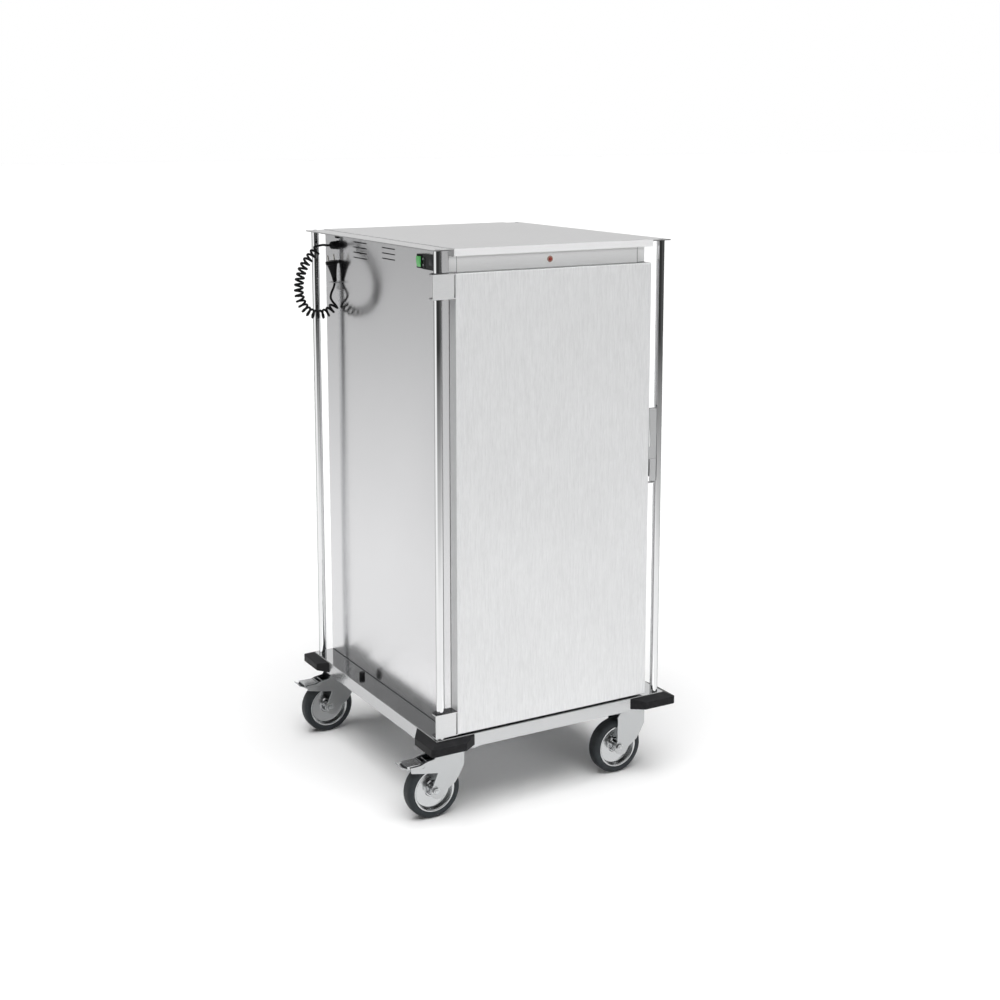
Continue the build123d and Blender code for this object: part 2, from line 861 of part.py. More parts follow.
# Hinge brackets: folded channels welded to the door's edge, turning on the hinge post
bracket_front = -414.5
bracket_web = 2.5
bracket_back = -378.0
bracket_edge = -314.7
bracket_nose = (-16.3, 14.3)
bracket_levels = {"hinge_bracket_upper": door_top - bracket_height, "hinge_bracket_lower": door_bottom}
for name, low in bracket_levels.items():
    with BuildPart() as bracket:
        for flange in (low, low + bracket_height - bracket_sheet):
            with BuildSketch(level(flange)):
                with BuildLine():
                    edge = Polyline(
                        (bracket_left, -tube_y),
                        (bracket_left, bracket_front),
                        (-door_half, bracket_front),
                        (-door_half, bracket_back),
                        (-tube_x, bracket_back),
                    )
                    nose = (-tube_x + bracket_nose[0], -tube_y + bracket_nose[1])
                    ThreePointArc(edge @ 1, nose, edge @ 0)
                make_face()
                with Locations(hinge_place):
                    Circle(bush_radius, mode=Mode.SUBTRACT)
            extrude(amount=bracket_sheet)
        with BuildSketch(front(bracket_front + bracket_web)):
            with Locations(((bracket_left + bracket_edge) / 2, low)):
                Rectangle(
                    bracket_edge - bracket_left, bracket_height, align=(Align.CENTER, Align.MIN)
                )
        extrude(amount=bracket_web)
    bracket.part.label = name
    export_step(bracket.part, f"parts/{name}.step")

# Nylon bushes between the brackets and the hinge post, with collars outside
bush_collar = 16.0
collar_sheet = 1.5
with BuildPart() as hinge_bushes:
    for low in bracket_levels.values():
        for flange, collar in (
            (low, low - collar_sheet),
            (low + bracket_height - bracket_sheet, low + bracket_height),
        ):
            with BuildSketch(level(flange)):
                with Locations(hinge_place):
                    Circle(bush_radius)
            extrude(amount=bracket_sheet)
            with BuildSketch(level(collar)):
                with Locations(hinge_place):
                    Circle(bush_collar)
            extrude(amount=collar_sheet)
    with BuildSketch(level(base_top)):
        with Locations(hinge_place):
            Circle(tube_radius + hinge_fit)
    extrude(amount=tube_top - base_top, mode=Mode.SUBTRACT)
hinge_bushes.part.label = "hinge_bushes"
export_step(hinge_bushes.part, "parts/hinge_bushes.step")

# Grip strip on the free edge, with a tapered finger slot and the lugs of the transport lock
grip_right = 335.0
grip_low = 944.0
grip_high = 1086.0
grip_flange = 2.0
lock_pin = (327.0, -408.0)
lock_low = 876.0
lock_high = 941.0
lock_pin_radius = 2.5
lug_gap = 0.5
lug_foot = 6.0
lug_depth = 14.0
flange_back = -384.0
flange_notch = -404.0
finger_slot = (6.0, 976.0, 1080.0)
grip_lip = 10.0
with BuildPart() as door_grip:
    with BuildSketch(side(door_half)):
        with BuildLine():
            Polyline(
                (flange_back, lock_low - lug_foot),
                (flange_back, grip_high),
                (bracket_front, grip_high),
                (bracket_front, grip_low),
                (flange_notch, grip_low),
                (flange_notch, lock_low - lug_gap),
                (bracket_front, lock_low - lug_gap),
                (bracket_front, lock_low - lug_foot),
                close=True,
            )
        make_face()
    extrude(amount=grip_flange)
    with BuildSketch(front(bracket_front + grip_flange)):
        with BuildLine():
            Polyline(
                (door_half + finger_slot[0], finger_slot[1]),
                (door_half + grip_flange, finger_slot[2]),
                (door_half + grip_flange, grip_high),
                (grip_right, grip_high),
                (grip_right, grip_low),
                (door_half + grip_flange, grip_low),
                (door_half + grip_flange, finger_slot[1]),
                close=True,
            )
        make_face()
    extrude(amount=grip_flange)
    with BuildSketch(level(grip_low)):
        with Locations((grip_right - grip_flange / 2, bracket_front + grip_lip / 2)):
            Rectangle(grip_flange, grip_lip)
    extrude(amount=grip_high - grip_low)
    for web_low, web_high in (
        (grip_high - grip_flange, grip_high),
        (lock_high + lug_gap, grip_low + grip_flange),
        (lock_low - lug_foot, lock_low - lug_foot + grip_flange),
    ):
        with BuildSketch(level(web_low)):
            with Locations(((door_half + grip_flange + grip_right) / 2, bracket_front + lug_depth / 2)):
                Rectangle(grip_right - door_half - grip_flange, lug_depth)
        extrude(amount=web_high - web_low)
    with BuildSketch(level(lock_low - lug_foot)):
        with Locations(lock_pin):
            Circle(lock_pin_radius)
    extrude(amount=grip_low - lock_low + lug_foot)
door_grip.part.label = "door_grip"
export_step(door_grip.part, "parts/door_grip.step")

# Transport lock: a thumb plate on the pin, whose claw turns in behind the corner tube
lock_turn = 35.0
claw_inner = tube_radius + 0.8
claw_outer = tube_radius + 4.3
claw_height = 50.0
claw_start = 8.0
thumb_left = 314.0
thumb_sheet = 2.0
knuckle_radius = 5.0
claw_plane = Plane(
    origin=(shift + lock_pin[0], lock_pin[1], lock_low + claw_start),
    x_dir=(math.cos(math.radians(lock_turn)), math.sin(math.radians(lock_turn)), 0),
    z_dir=(0, 0, 1),
)
tube_from_pin = (tube_x - lock_pin[0], -tube_y - lock_pin[1])
with BuildPart() as transport_lock:
    with BuildSketch(level(lock_low)):
        with Locations(((thumb_left + grip_right) / 2, bracket_front + thumb_sheet / 2)):
            Rectangle(grip_right - thumb_left, thumb_sheet)
        with Locations(lock_pin):
            Circle(knuckle_radius)
    extrude(amount=lock_high - lock_low)
    with BuildSketch(claw_plane):
        with BuildLine():
            outer = CenterArc(tube_from_pin, claw_outer, 70, 110)
            inner = CenterArc(tube_from_pin, claw_inner, 70, 110)
            Line(outer @ 0, inner @ 0)
            Line(outer @ 1, inner @ 1)
        make_face()
        with BuildLine():
            Polyline(
                (-2, 3),
                (3, -2),
                inner @ 1 + (0, -1.5),
                inner @ 1 + (0, 0.5),
                outer @ 1 + (0, 0.5),
                close=True,
            )
        make_face()
    extrude(amount=claw_height)
    with BuildSketch(level(lock_low)):
        with Locations(lock_pin):
            Circle(lock_pin_radius + 0.1)
    extrude(amount=lock_high - lock_low, mode=Mode.SUBTRACT)
transport_lock.part.label = "transport_lock"
export_step(transport_lock.part, "parts/transport_lock.step")

# Castors: two with a brake pedal on the left, two plain ones on the right
castors = {
    "front_left": (-castor_x, -castor_y),
    "front_right": (castor_x, -castor_y),
    "rear_left": (-castor_x, castor_y),
    "rear_right": (castor_x, castor_y),
}
plate_bottom = 196.0
plate_size = (135.0, 110.0)
bolt_spacing = (105.0, 80.0)
bolt_radius = 9.2
bolt_height = 6.5
race_radius = 42.0
race_gap = 0.4
race_step = 2.6
pin_radius = 8.0
pin_head = 13.0
pin_head_height = 5.7

# Top plates, each with its race, its king pin and the heads of its four bolts
with BuildPart() as castor_plates:
    for x, y in castors.values():
        with BuildSketch(level(plate_bottom)):
            with Locations((x, y)):
                RectangleRounded(*plate_size, 8)
        extrude(amount=channel_floor - plate_bottom)
        with BuildSketch(turning_plane(x, y)):
            with BuildLine():
                Polyline(
                    (0, plate_bottom),
                    (race_radius, plate_bottom),
                    (race_radius, fork_top + race_gap + race_step),
                    (race_radius - 5, fork_top + race_gap + race_step),
                    (race_radius - 5, fork_top + race_gap),
                    (pin_radius, fork_top + race_gap),
                    (pin_radius, fork_top - fork_sheet - 0.3),
                    (pin_head, fork_top - fork_sheet - 0.3),
                    (pin_head, fork_top - fork_sheet - 0.3 - pin_head_height),
                    (0, fork_top - fork_sheet - 0.3 - pin_head_height),
                    close=True,
                )
            make_face()
        revolve(axis=upright_axis(x, y))
        with BuildSketch(level(plate_bottom)):
            with Locations((x, y)):
                with GridLocations(*bolt_spacing, 2, 2):
                    RegularPolygon(bolt_radius, 6)
        extrude(amount=-bolt_height)
castor_plates.part.label = "castor_plates"
export_step(castor_plates.part, "parts/castor_plates.step")


def fork_plan(axle_x, y, sheet):
    """Plan of a fork: parallel up to the crease, then drawn in towards the back."""
    half = fork_width / 2 - sheet
    tail = fork_taper - sheet
    with Locations((axle_x, y)):
        Polygon(
            (-80, -half),
            (fork_crease, -half),
            (92, -tail),
            (92, tail),
            (fork_crease, half),
            (-80, half),
            align=None,
            mode=Mode.SUBTRACT if sheet else Mode.ADD,
        )


def leg_outline(axle_x, braked):
    """Side view of a fork, with the long cheek that carries the pedal on a braked one."""
    rear = [(90, fork_top), (90, 139), (77, 116), (62, 94), (33, 75), (20, 56), (4, 56), (-8, 62), (-14, 72)]
    plain_front = [(-14, 86), (-5, 98), (-5, 170), (8, fork_top)]
    cheek_below = [(-14, 86), (-6, 99), (8, 131), (-40, 139), (-73, 146)]
    cheek_above = [(-76, 162), (-47, 163), (-28, 169), (-3, 173), (8, fork_top)]
    points = rear + (cheek_below + cheek_above if braked else plain_front)
    Polyline(*[(axle_x + dx, z) for dx, z in points], close=True)


def wheel_outline(points):
    """Section of a wheel part from the half of it that lies before its middle plane."""
    Polyline(*points, *[(radius, -across) for radius, across in reversed(points)], close=True)


for name, (x, y) in castors.items():
    axle_x = x - castor_trail
    braked = x < 0
    half = fork_width / 2

    # Fork: one folded sheet, with its axle bolt
    with BuildPart() as fork:
        with BuildSketch(level(fork_bottom)):
            fork_plan(axle_x, y, 0)
            fork_plan(axle_x, y, fork_sheet)
        extrude(amount=fork_top - fork_bottom)
        with BuildSketch(level(fork_top - fork_sheet)):
            fork_plan(axle_x, y, 0)
        extrude(amount=fork_sheet)
        with BuildSketch(front(y + half)):
            with BuildLine():
                leg_outline(axle_x, braked)
            make_face()
            if braked:
                with Locations((axle_x + pedal_pin[0], pedal_pin[1])):
                    Circle(pedal_pin_radius + 0.1, mode=Mode.SUBTRACT)
            with Locations((axle_x, wheel_radius)):
                Circle(axle_radius, mode=Mode.SUBTRACT)
        extrude(amount=fork_width, mode=Mode.INTERSECT)
        with BuildSketch(level(fork_top)):
            with Locations((x, y)):
                Circle(pin_radius + 0.1)
        extrude(amount=-fork_sheet, mode=Mode.SUBTRACT)
        with BuildSketch(front(y + half + axle_head), front(y - half)):
            with Locations((axle_x, wheel_radius)):
                RegularPolygon(axle_nut, 6)
        extrude(amount=axle_head)
        with BuildSketch(front(y + half)):
            with Locations((axle_x, wheel_radius)):
                Circle(axle_radius)
        extrude(amount=fork_width)
    fork.part.label = f"castor_fork_{name}"
    export_step(fork.part, f"parts/castor_fork_{name}.step")

    # Wheel: a rubber tyre on a pressed core, whose web lies deep between its rims
    wheel_plane = Plane(
        origin=(shift + axle_x, y, wheel_radius), x_dir=(0, 0, 1), z_dir=(1, 0, 0)
    )
    axle = Axis((shift + axle_x, y, wheel_radius), (0, 1, 0))
    tread = wheel_width / 2
    with BuildPart() as tyre:
        with BuildSketch(wheel_plane):
            with BuildLine():
                wheel_outline([(core_radius, -tread), (wheel_radius - 7, -tread), (wheel_radius, 7 - tread)])
            make_face()
        revolve(axis=axle)
    tyre.part.label = f"castor_tyre_{name}"
    export_step(tyre.part, f"parts/castor_tyre_{name}.step")

    with BuildPart() as core:
        with BuildSketch(wheel_plane):
            with BuildLine():
                wheel_outline(
                    [
                        (axle_radius + 0.1, -hub_width / 2),
                        (hub_radius, -hub_width / 2),
                        (hub_radius, -boss_width / 2),
                        (boss_radius, -boss_width / 2),
                        (boss_radius, -web_sheet / 2),
                        (rim_radius, -web_sheet / 2),
                        (rim_radius, -rim_width / 2),
                        (core_radius, -rim_width / 2),
                    ]
                )
            make_face()
        revolve(axis=axle)
    core.part.label = f"castor_core_{name}"
    export_step(core.part, f"parts/castor_core_{name}.step")

    # Brake pedal: a ribbed tread and a lower blade between two rails, on a pin through the cheeks
    if braked:
        rail_points = [(-84, 158), (-72, 151.5), (-46, 151.5), (-30, 157.5), (-21, 162.3), (-21, pedal_top)]
        blade_points = [(-70, 151.5), (-pedal_tip, 165), (-pedal_tip + 1, 167), (-70, 154)]
        with BuildPart() as pedal:
            with BuildSketch(front(y + pedal_half), front(y - pedal_half + pedal_sheet)):
                with Locations((axle_x, 0)):
                    Polygon(*rail_points, (-84, pedal_top), align=None)
            extrude(amount=pedal_sheet)
            with BuildSketch(front(y + pedal_half)):
                with Locations((axle_x, 0)):
                    Polygon(*blade_points, align=None)
                with Locations((axle_x - 84, pedal_top)):
                    Rectangle(47, pedal_sheet, align=(Align.MIN, Align.MAX))
                with Locations((axle_x - 39, pedal_top), (axle_x - 24, pedal_top)):
                    Rectangle(3, pedal_sheet, align=(Align.MIN, Align.MAX))
                    Rectangle(3, pedal_rib, align=(Align.MIN, Align.MIN))
            extrude(amount=2 * pedal_half)
            with BuildSketch(front(y + half - 0.5)):
                with Locations((axle_x + pedal_pin[0], pedal_pin[1])):
                    Circle(pedal_pin_radius)
            extrude(amount=fork_width - 1)
        pedal.part.label = f"castor_pedal_{name}"
        export_step(pedal.part, f"parts/castor_pedal_{name}.step")

# Connection cord: a smooth lead from the gland, twenty curls, and a smooth tail into the plug
gland_tip = Vector(shift - body_half - gland_length, outlet_y, outlet_z)
lead_points = [
    gland_tip,
    Vector(shift - 349, 320, 1523),
    Vector(shift - 358.5, 318.2, 1525),
    Vector(shift - 367.5, 315, 1525.3),
]
tail_points = [
    Vector(shift - 338, 314, 1356),
    Vector(shift - 334.1, 314.6, 1370.5),
    Vector(shift - 324.3, 319, 1385.6),
    Vector(shift - 321.2, 322, 1400.3),
    Vector(shift - 323.2, 322.4, 1414.1),
]
coil_points = [
    (-378, 1513),
    (-406, 1487),
    (-425, 1462),
    (-437, 1429),
    (-441.5, 1394),
    (-436, 1362),
    (-421.5, 1336),
    (-400.6, 1321),
    (-369, 1317),
    (-336, 1331),
]


def bend_radii(points):
    """Radius of each corner: 0.45 of the shorter run, over the tangent of half the turn."""
    radii = []
    for before, corner, after in zip(points, points[1:], points[2:]):
        turn = (corner - before).get_angle(after - corner)
        run = min((corner - before).length, (after - corner).length)
        radii.append(0.45 * run / math.tan(math.radians(turn / 2)))
    return radii


for name, points in (("cord_lead", lead_points), ("cord_tail", tail_points)):
    radii = bend_radii(points)
    with BuildPart() as cord:
        with BuildLine() as route:
            FilletPolyline(*points, radius=radii)
        with BuildSketch(Plane(origin=points[0], z_dir=points[1] - points[0])) as section:
            RegularPolygon(wire / 2, 6)
        sweep()
    expected = section.sketch.area * route.wires()[0].length
    print(name, "radii", [round(radius, 1) for radius in radii], "volume", cord.part.volume / expected)
    cord.part.label = name
    export_step(cord.part, f"parts/{name}.step")

# The helix is kept as one point and one direction for each half turn about the coil's own axis
coil_axis = Spline(*[(shift + x, cord_y, z) for x, z in coil_points])
lead_way = (lead_points[-1] - lead_points[-2]).normalized()
tail_way = (tail_points[1] - tail_points[0]).normalized()
helix = [(lead_points[-1] + lead_way * wire, lead_way)]
half_pitch = coil_axis.length / curl_half_turns
for turn in range(curl_half_turns + 1):
    along = coil_axis % (turn / curl_half_turns)
    outward = Vector(along.Z, 0, -along.X)
    swing = 1 if turn % 2 == 0 else -1
    point = (coil_axis @ (turn / curl_half_turns)) + outward * (swing * curl_radius)
    way = Vector(0, swing * math.pi * curl_radius, 0) + along * half_pitch
    helix.append((point, way.normalized()))
helix.append((tail_points[0] - tail_way * wire, tail_way))


def biarc_middle(start, start_way, end, end_way):
    """Point where two arcs meet that leave start and reach end along the given ways."""
    gap = end - start
    both = start_way + end_way
    a = 2 * (start_way.dot(end_way) - 1)
    b = -2 * gap.dot(both)
    c = gap.dot(gap)
    reach = (-b - math.sqrt(b * b - 4 * a * c)) / (2 * a)
    return (start + start_way * reach + end - end_way * reach) * 0.5


with BuildPart() as cord_curl:
    with BuildLine() as curl_route:
        Line(lead_points[-1], helix[0][0])
        for (start, start_way), (end, end_way) in zip(helix, helix[1:]):
            middle = biarc_middle(start, start_way, end, end_way)
            first = TangentArc(start, middle, tangent=start_way)
            TangentArc(middle, end, tangent=first % 1)
        Line(helix[-1][0], tail_points[0])
    with BuildSketch(Plane(origin=lead_points[-1], z_dir=lead_way)) as curl_section:
        RegularPolygon(wire / 2, 6)
    sweep(clean=False)
curl_wire = curl_route.wires()[0]
curl_length = curl_wire.length
curl_share = cord_curl.part.volume / (curl_section.sketch.area * curl_length)
print("cord_curl length", curl_length, "volume", curl_share)
samples = [curl_wire @ (i / 1200) for i in range(1201)]
apart = int(4 * wire / (curl_length / 1200))
nearest = min(
    (samples[i] - samples[j]).length for i in range(0, 1201, 2) for j in range(i + apart, 1201, 2)
)
print("cord_curl least gap to itself", nearest - wire)
arcs = [edge.radius for edge in curl_route.edges().filter_by(GeomType.CIRCLE)]
print("cord_curl arc radii", min(arcs), "to", max(arcs))
cord_curl.part.label = "cord_curl"
export_step(cord_curl.part, "parts/cord_curl.step")

# Plug: a moulded body that narrows to the cord, with earthing grooves and two pins
plug_way = (tail_points[-1] - tail_points[-2]).normalized()
plug_seat = tail_points[-1]
plug_axis = Axis(plug_seat, plug_way)
plug_side = Vector(plug_way.Z, 0, -plug_way.X).normalized()
neck_radius = 7.0
neck_length = 13.0
flare_start = 9.5
flare_end = 46.0
face_radius = 19.0
groove = (6.5, 7.0, 14.0)
plug_plane = Plane(origin=plug_seat, x_dir=plug_side, z_dir=plug_side.cross(plug_way))
pin_plane = Plane(origin=plug_seat + plug_way * plug_length, x_dir=plug_side, z_dir=plug_way)
with BuildPart() as plug_body:
    with BuildSketch(plug_plane):
        with BuildLine():
            Polyline(
                (0, 0),
                (neck_radius, 0),
                (neck_radius, neck_length),
                (flare_start, neck_length),
                (face_radius, flare_end),
                (face_radius, plug_length),
                (0, plug_length),
                close=True,
            )
        make_face()
    revolve(axis=plug_axis)
    with BuildSketch(pin_plane):
        with Locations((0, face_radius), (0, -face_radius)):
            Rectangle(groove[0], groove[1])
    extrude(amount=-groove[2], mode=Mode.SUBTRACT)
plug_body.part.label = "plug_body"
export_step(plug_body.part, "parts/plug_body.step")

pin_length = 19.0
pin_spacing = 19.0
contact_radius = 2.4
with BuildPart() as plug_pins:
    with BuildSketch(pin_plane):
        with GridLocations(pin_spacing, 1, 2, 1):
            RegularPolygon(contact_radius, 12)
    extrude(amount=pin_length)
    chamfer(plug_pins.faces().sort_by(Axis(plug_seat, plug_way))[-2:].edges(), 0.7)
plug_pins.part.label = "plug_pins"
export_step(plug_pins.part, "parts/plug_pins.step")

# Plug holder: an angle on the side panel whose fork takes the neck of the plug
holder_top = 1412.8
holder_sheet = 2.0
holder_reach = 24.0
holder_width = 30.0
holder_leg = 24.0
fork_radius = wire / 2 + 1.3
fork_reach = 12.2
holder_plane = Plane(origin=(shift - body_half, plug_seat.Y, holder_top))
with BuildPart() as plug_holder:
    with BuildSketch(holder_plane):
        with Locations((-holder_reach / 2, 0)):
            Rectangle(holder_reach, holder_width)
        with Locations((-fork_reach, 0)):
            Circle(fork_radius, mode=Mode.SUBTRACT)
            Rectangle(fork_reach, 2 * fork_radius, align=(Align.MAX, Align.CENTER), mode=Mode.SUBTRACT)
    extrude(amount=-holder_sheet)
    with BuildSketch(holder_plane):
        with Locations((-holder_sheet / 2, 0)):
            Rectangle(holder_sheet, holder_width)
    extrude(amount=-holder_leg)
plug_holder.part.label = "plug_holder"
export_step(plug_holder.part, "parts/plug_holder.step")
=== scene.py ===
"""Looks of the gastronorm tray trolley: finishes, soft edges and small parts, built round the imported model.

Every size is in metres unless a name ends in _mm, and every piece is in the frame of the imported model. The
cabinet's own middle lies SHIFT to the right of that frame's origin.
"""

import logging
import math
from dataclasses import dataclass, field
from enum import Enum

import bmesh
import bpy
from mathutils import Matrix, Vector


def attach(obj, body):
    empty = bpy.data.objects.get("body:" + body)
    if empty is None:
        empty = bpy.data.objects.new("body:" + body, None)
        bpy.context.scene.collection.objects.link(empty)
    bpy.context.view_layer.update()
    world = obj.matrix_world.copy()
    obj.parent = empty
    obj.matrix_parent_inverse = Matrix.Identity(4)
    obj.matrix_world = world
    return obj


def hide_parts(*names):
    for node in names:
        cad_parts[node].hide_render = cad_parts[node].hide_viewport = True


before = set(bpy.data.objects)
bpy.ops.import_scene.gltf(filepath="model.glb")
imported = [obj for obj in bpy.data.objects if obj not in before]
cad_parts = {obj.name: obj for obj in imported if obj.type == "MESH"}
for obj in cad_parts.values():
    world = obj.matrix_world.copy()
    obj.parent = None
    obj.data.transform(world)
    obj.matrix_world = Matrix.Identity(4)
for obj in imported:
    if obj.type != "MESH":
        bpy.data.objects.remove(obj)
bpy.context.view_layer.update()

log = logging.getLogger("tray_trolley")

SHIFT = 0.0295
CABINET = "cabinet"
CORNERS = ("front_left", "front_right", "rear_left", "rear_right")
BRAKED = ("front_left", "rear_left")
UP = Vector((0, 0, 1))
PANEL_MM = 311.0
TRAY_MM = 238.0
FACE_MM = -377.0
SHARP_DEG = 34.0
ROUND_DEG = 30.0
FLAT_DEG = 0.5
WELD = 2e-6

Outline = list[tuple[float, float]]
Triple = tuple[float, float, float]


def at(x_mm: float, y_mm: float, z_mm: float) -> Vector:
    """Place of the cabinet in millimetres, as a point of the model's frame."""
    return Vector((SHIFT + x_mm / 1000, y_mm / 1000, z_mm / 1000))


class Grain(Enum):
    """Way that a brushed grain runs, as the scale of its noise along X, Y and Z."""

    UPRIGHT = (260.0, 260.0, 22.0)
    ACROSS = (30.0, 420.0, 420.0)
    DEEP = (420.0, 30.0, 420.0)


class Slot(Enum):
    """Material slots of the record, named alongside the finishes of new pieces."""

    BRUSHED = "brushed_stainless"
    CHROME = "chromed_steel"
    ZINC = "zinc_plated_steel"
    BUMPER = "bumper_rubber"
    TYRE = "tyre_rubber"
    CORE = "core_steel"
    BLACK = "black_plastic"
    CONTROLLER = "controller_plastic"
    KEY = "key_plastic"
    GREEN = "green_plastic"
    LENS = "lens_plastic"
    BEZEL = "bezel_plastic"
    CORD = "cord_rubber"
    PINS = "pin_metal"


class Graph:
    """Node tree of a material or a world, built one link at a time."""

    def __init__(self, owner: bpy.types.Material | bpy.types.World) -> None:
        """Opens the tree.

        Args:
            owner: The material or world.
        """
        owner.use_nodes = True
        self.owner = owner
        self.nodes = owner.node_tree.nodes
        self.links = owner.node_tree.links

    def number(self, operation: str, *values: object) -> object:
        """Result socket of a calculation on sockets and numbers."""
        node = self.nodes.new("ShaderNodeMath")
        node.operation = operation
        for socket, value in zip(node.inputs, values):
            if isinstance(value, bpy.types.NodeSocket):
                self.links.new(value, socket)
            else:
                socket.default_value = value
        return node.outputs["Value"]

    def span(self, source: object, low: float, high: float, start: float = 0.3, end: float = 0.7) -> object:
        """Maps a factor from start..end to low..high, and returns the result's socket."""
        node = self.nodes.new("ShaderNodeMapRange")
        for key, value in (("From Min", start), ("From Max", end), ("To Min", low), ("To Max", high)):
            node.inputs[key].default_value = value
        self.links.new(source, node.inputs["Value"])
        return node.outputs["Result"]

    def mix(self, factor: object, low: object, high: object) -> object:
        """Colour between two others, each of them a socket or a colour, by a factor."""
        node = self.nodes.new("ShaderNodeMix")
        node.data_type = "RGBA"
        self.links.new(factor, node.inputs[0])
        for socket, value in zip(node.inputs[6:8], (low, high)):
            if isinstance(value, bpy.types.NodeSocket):
                self.links.new(value, socket)
            else:
                socket.default_value = (*value, 1.0)
        return node.outputs[2]


class Tree(Graph):
    """A material's nodes round one Principled shader."""

    def __init__(self, name: str) -> None:
        """Starts a material.

        Args:
            name: Name of the material.
        """
        super().__init__(bpy.data.materials.new(name))
        self.shader = self.nodes["Principled BSDF"]
        self.place = self.nodes.new("ShaderNodeTexCoord").outputs["Object"]

    def set(self, **values: object) -> None:
        """Sets the shader's own sockets, with underscores for the spaces in their names."""
        for key, value in values.items():
            self.shader.inputs[key.replace("_", " ")].default_value = value

    def noise(self, scale: Triple, detail: float = 3.0, rough: float = 0.6) -> object:
        """Noise over the object's own coordinates.

        Args:
            scale: Cells to a metre along X, Y and Z.
            detail: Octaves of finer noise.
            rough: How strong each finer octave is.

        Returns:
            The noise's factor socket.
        """
        mapping = self.nodes.new("ShaderNodeMapping")
        mapping.inputs["Scale"].default_value = scale
        texture = self.nodes.new("ShaderNodeTexNoise")
        texture.inputs["Scale"].default_value = 1.0
        texture.inputs["Detail"].default_value = detail
        texture.inputs["Roughness"].default_value = rough
        self.links.new(self.place, mapping.inputs["Vector"])
        self.links.new(mapping.outputs["Vector"], texture.inputs["Vector"])
        return texture.outputs["Fac"]

    def tint(self, colour: Triple, factor: object) -> None:
        """Base colour scaled by a varying factor."""
        node = self.nodes.new("ShaderNodeVectorMath")
        node.operation = "SCALE"
        node.inputs[0].default_value = colour
        self.links.new(factor, node.inputs["Scale"])
        self.links.new(node.outputs["Vector"], self.shader.inputs["Base Color"])

    def roughness(self, factor: object) -> None:
        """Links a varying roughness."""
        self.links.new(factor, self.shader.inputs["Roughness"])

    def bump(self, height: object, strength: float, distance: float = 0.0002) -> None:
        """Bump of a height socket, distance metres deep at full strength."""
        node = self.nodes.new("ShaderNodeBump")
        node.inputs["Strength"].default_value = strength
        node.inputs["Distance"].default_value = distance
        self.links.new(height, node.inputs["Height"])
        self.links.new(node.outputs["Normal"], self.shader.inputs["Normal"])


_made: dict[str, bpy.types.Material] = {}


@dataclass(frozen=True)
class Finish:
    """A finish that is made into a material once, the first time that a piece asks for it."""

    name: str
    colour: Triple
    rough: float

    def material(self) -> bpy.types.Material:
        """The finish's material."""
        if self.name not in _made:
            tree = Tree(self.name)
            tree.set(Roughness=self.rough, Base_Color=(*self.colour, 1.0))
            self.paint(tree)
            _made[self.name] = tree.owner
        return _made[self.name]

    def paint(self, tree: Tree) -> None:
        """Adds what sets this finish apart."""
        raise NotImplementedError


@dataclass(frozen=True)
class BrushedSteel(Finish):
    """Stainless sheet with a brushed grain, faint streaks and slow clouding.

    Its smear draws the mirror image out upright, and its relief is the height of the grain.
    """

    grain: Grain
    streak: float
    cloud: float
    metal: float = 1.0
    smear: float = 0.0
    relief: float = 0.12

    def paint(self, tree: Tree) -> None:
        """Streaks along the grain vary colour, roughness and height."""
        fine = tree.noise(tuple(4 * s for s in self.grain.value), 2.0)
        coarse = tree.noise(self.grain.value, 3.0, 0.7)
        cloud = tree.noise((3.0, 3.0, 3.0), 2.0)
        streaks = tree.span(coarse, 1 - self.streak, 1 + self.streak)
        grain = tree.number("MULTIPLY", streaks, tree.span(fine, 0.985, 1.015))
        clouds = tree.span(cloud, 1 - self.cloud, 1 + self.cloud)
        tree.tint(self.colour, tree.number("MULTIPLY", grain, clouds))
        tree.roughness(tree.span(coarse, self.rough - 0.04, self.rough + 0.05))
        tree.bump(fine, self.relief)
        tree.set(Metallic=self.metal)
        if self.smear:
            way = tree.nodes.new("ShaderNodeTangent")
            way.direction_type = "RADIAL"
            way.axis = "Y"
            tree.links.new(way.outputs["Tangent"], tree.shader.inputs["Tangent"])
            tree.set(Anisotropic=self.smear)


@dataclass(frozen=True)
class MirrorSteel(Finish):
    """Polished or plated steel, with hairline scratches and a few dull patches."""

    scratch: float
    rim: float = 1.0

    def paint(self, tree: Tree) -> None:
        """Patches and hairlines vary the roughness."""
        patch = tree.noise((14.0, 14.0, 14.0), 3.0)
        hair = tree.noise((900.0, 900.0, 60.0), 1.0)
        tree.tint(self.colour, tree.span(patch, 0.97, 1.0))
        dull = tree.span(patch, self.rough, self.rough + self.scratch)
        tree.roughness(tree.number("MULTIPLY", dull, tree.span(hair, 0.85, 1.15)))
        tree.bump(hair, 0.05)
        # A rim below 1 darkens the reflection towards grazing angles: painted shade on the edges.
        tree.set(Metallic=1.0, Specular_Tint=(self.rim, self.rim, self.rim, 1.0))


@dataclass(frozen=True)
class PlatedZinc(Finish):
    """Zinc plate: bright, slightly mottled, and duller where it is handled."""

    def paint(self, tree: Tree) -> None:
        """Two sizes of mottling vary colour and roughness."""
        small = tree.noise((420.0, 420.0, 420.0), 2.0)
        large = tree.noise((32.0, 32.0, 32.0), 3.0)
        mottle = tree.number("MULTIPLY", tree.span(small, 0.985, 1.015), tree.span(large, 0.97, 1.015))
        tree.tint(self.colour, mottle)
        tree.roughness(tree.span(large, self.rough - 0.03, self.rough + 0.05))
        tree.bump(small, 0.02)
        tree.set(Metallic=1.0)


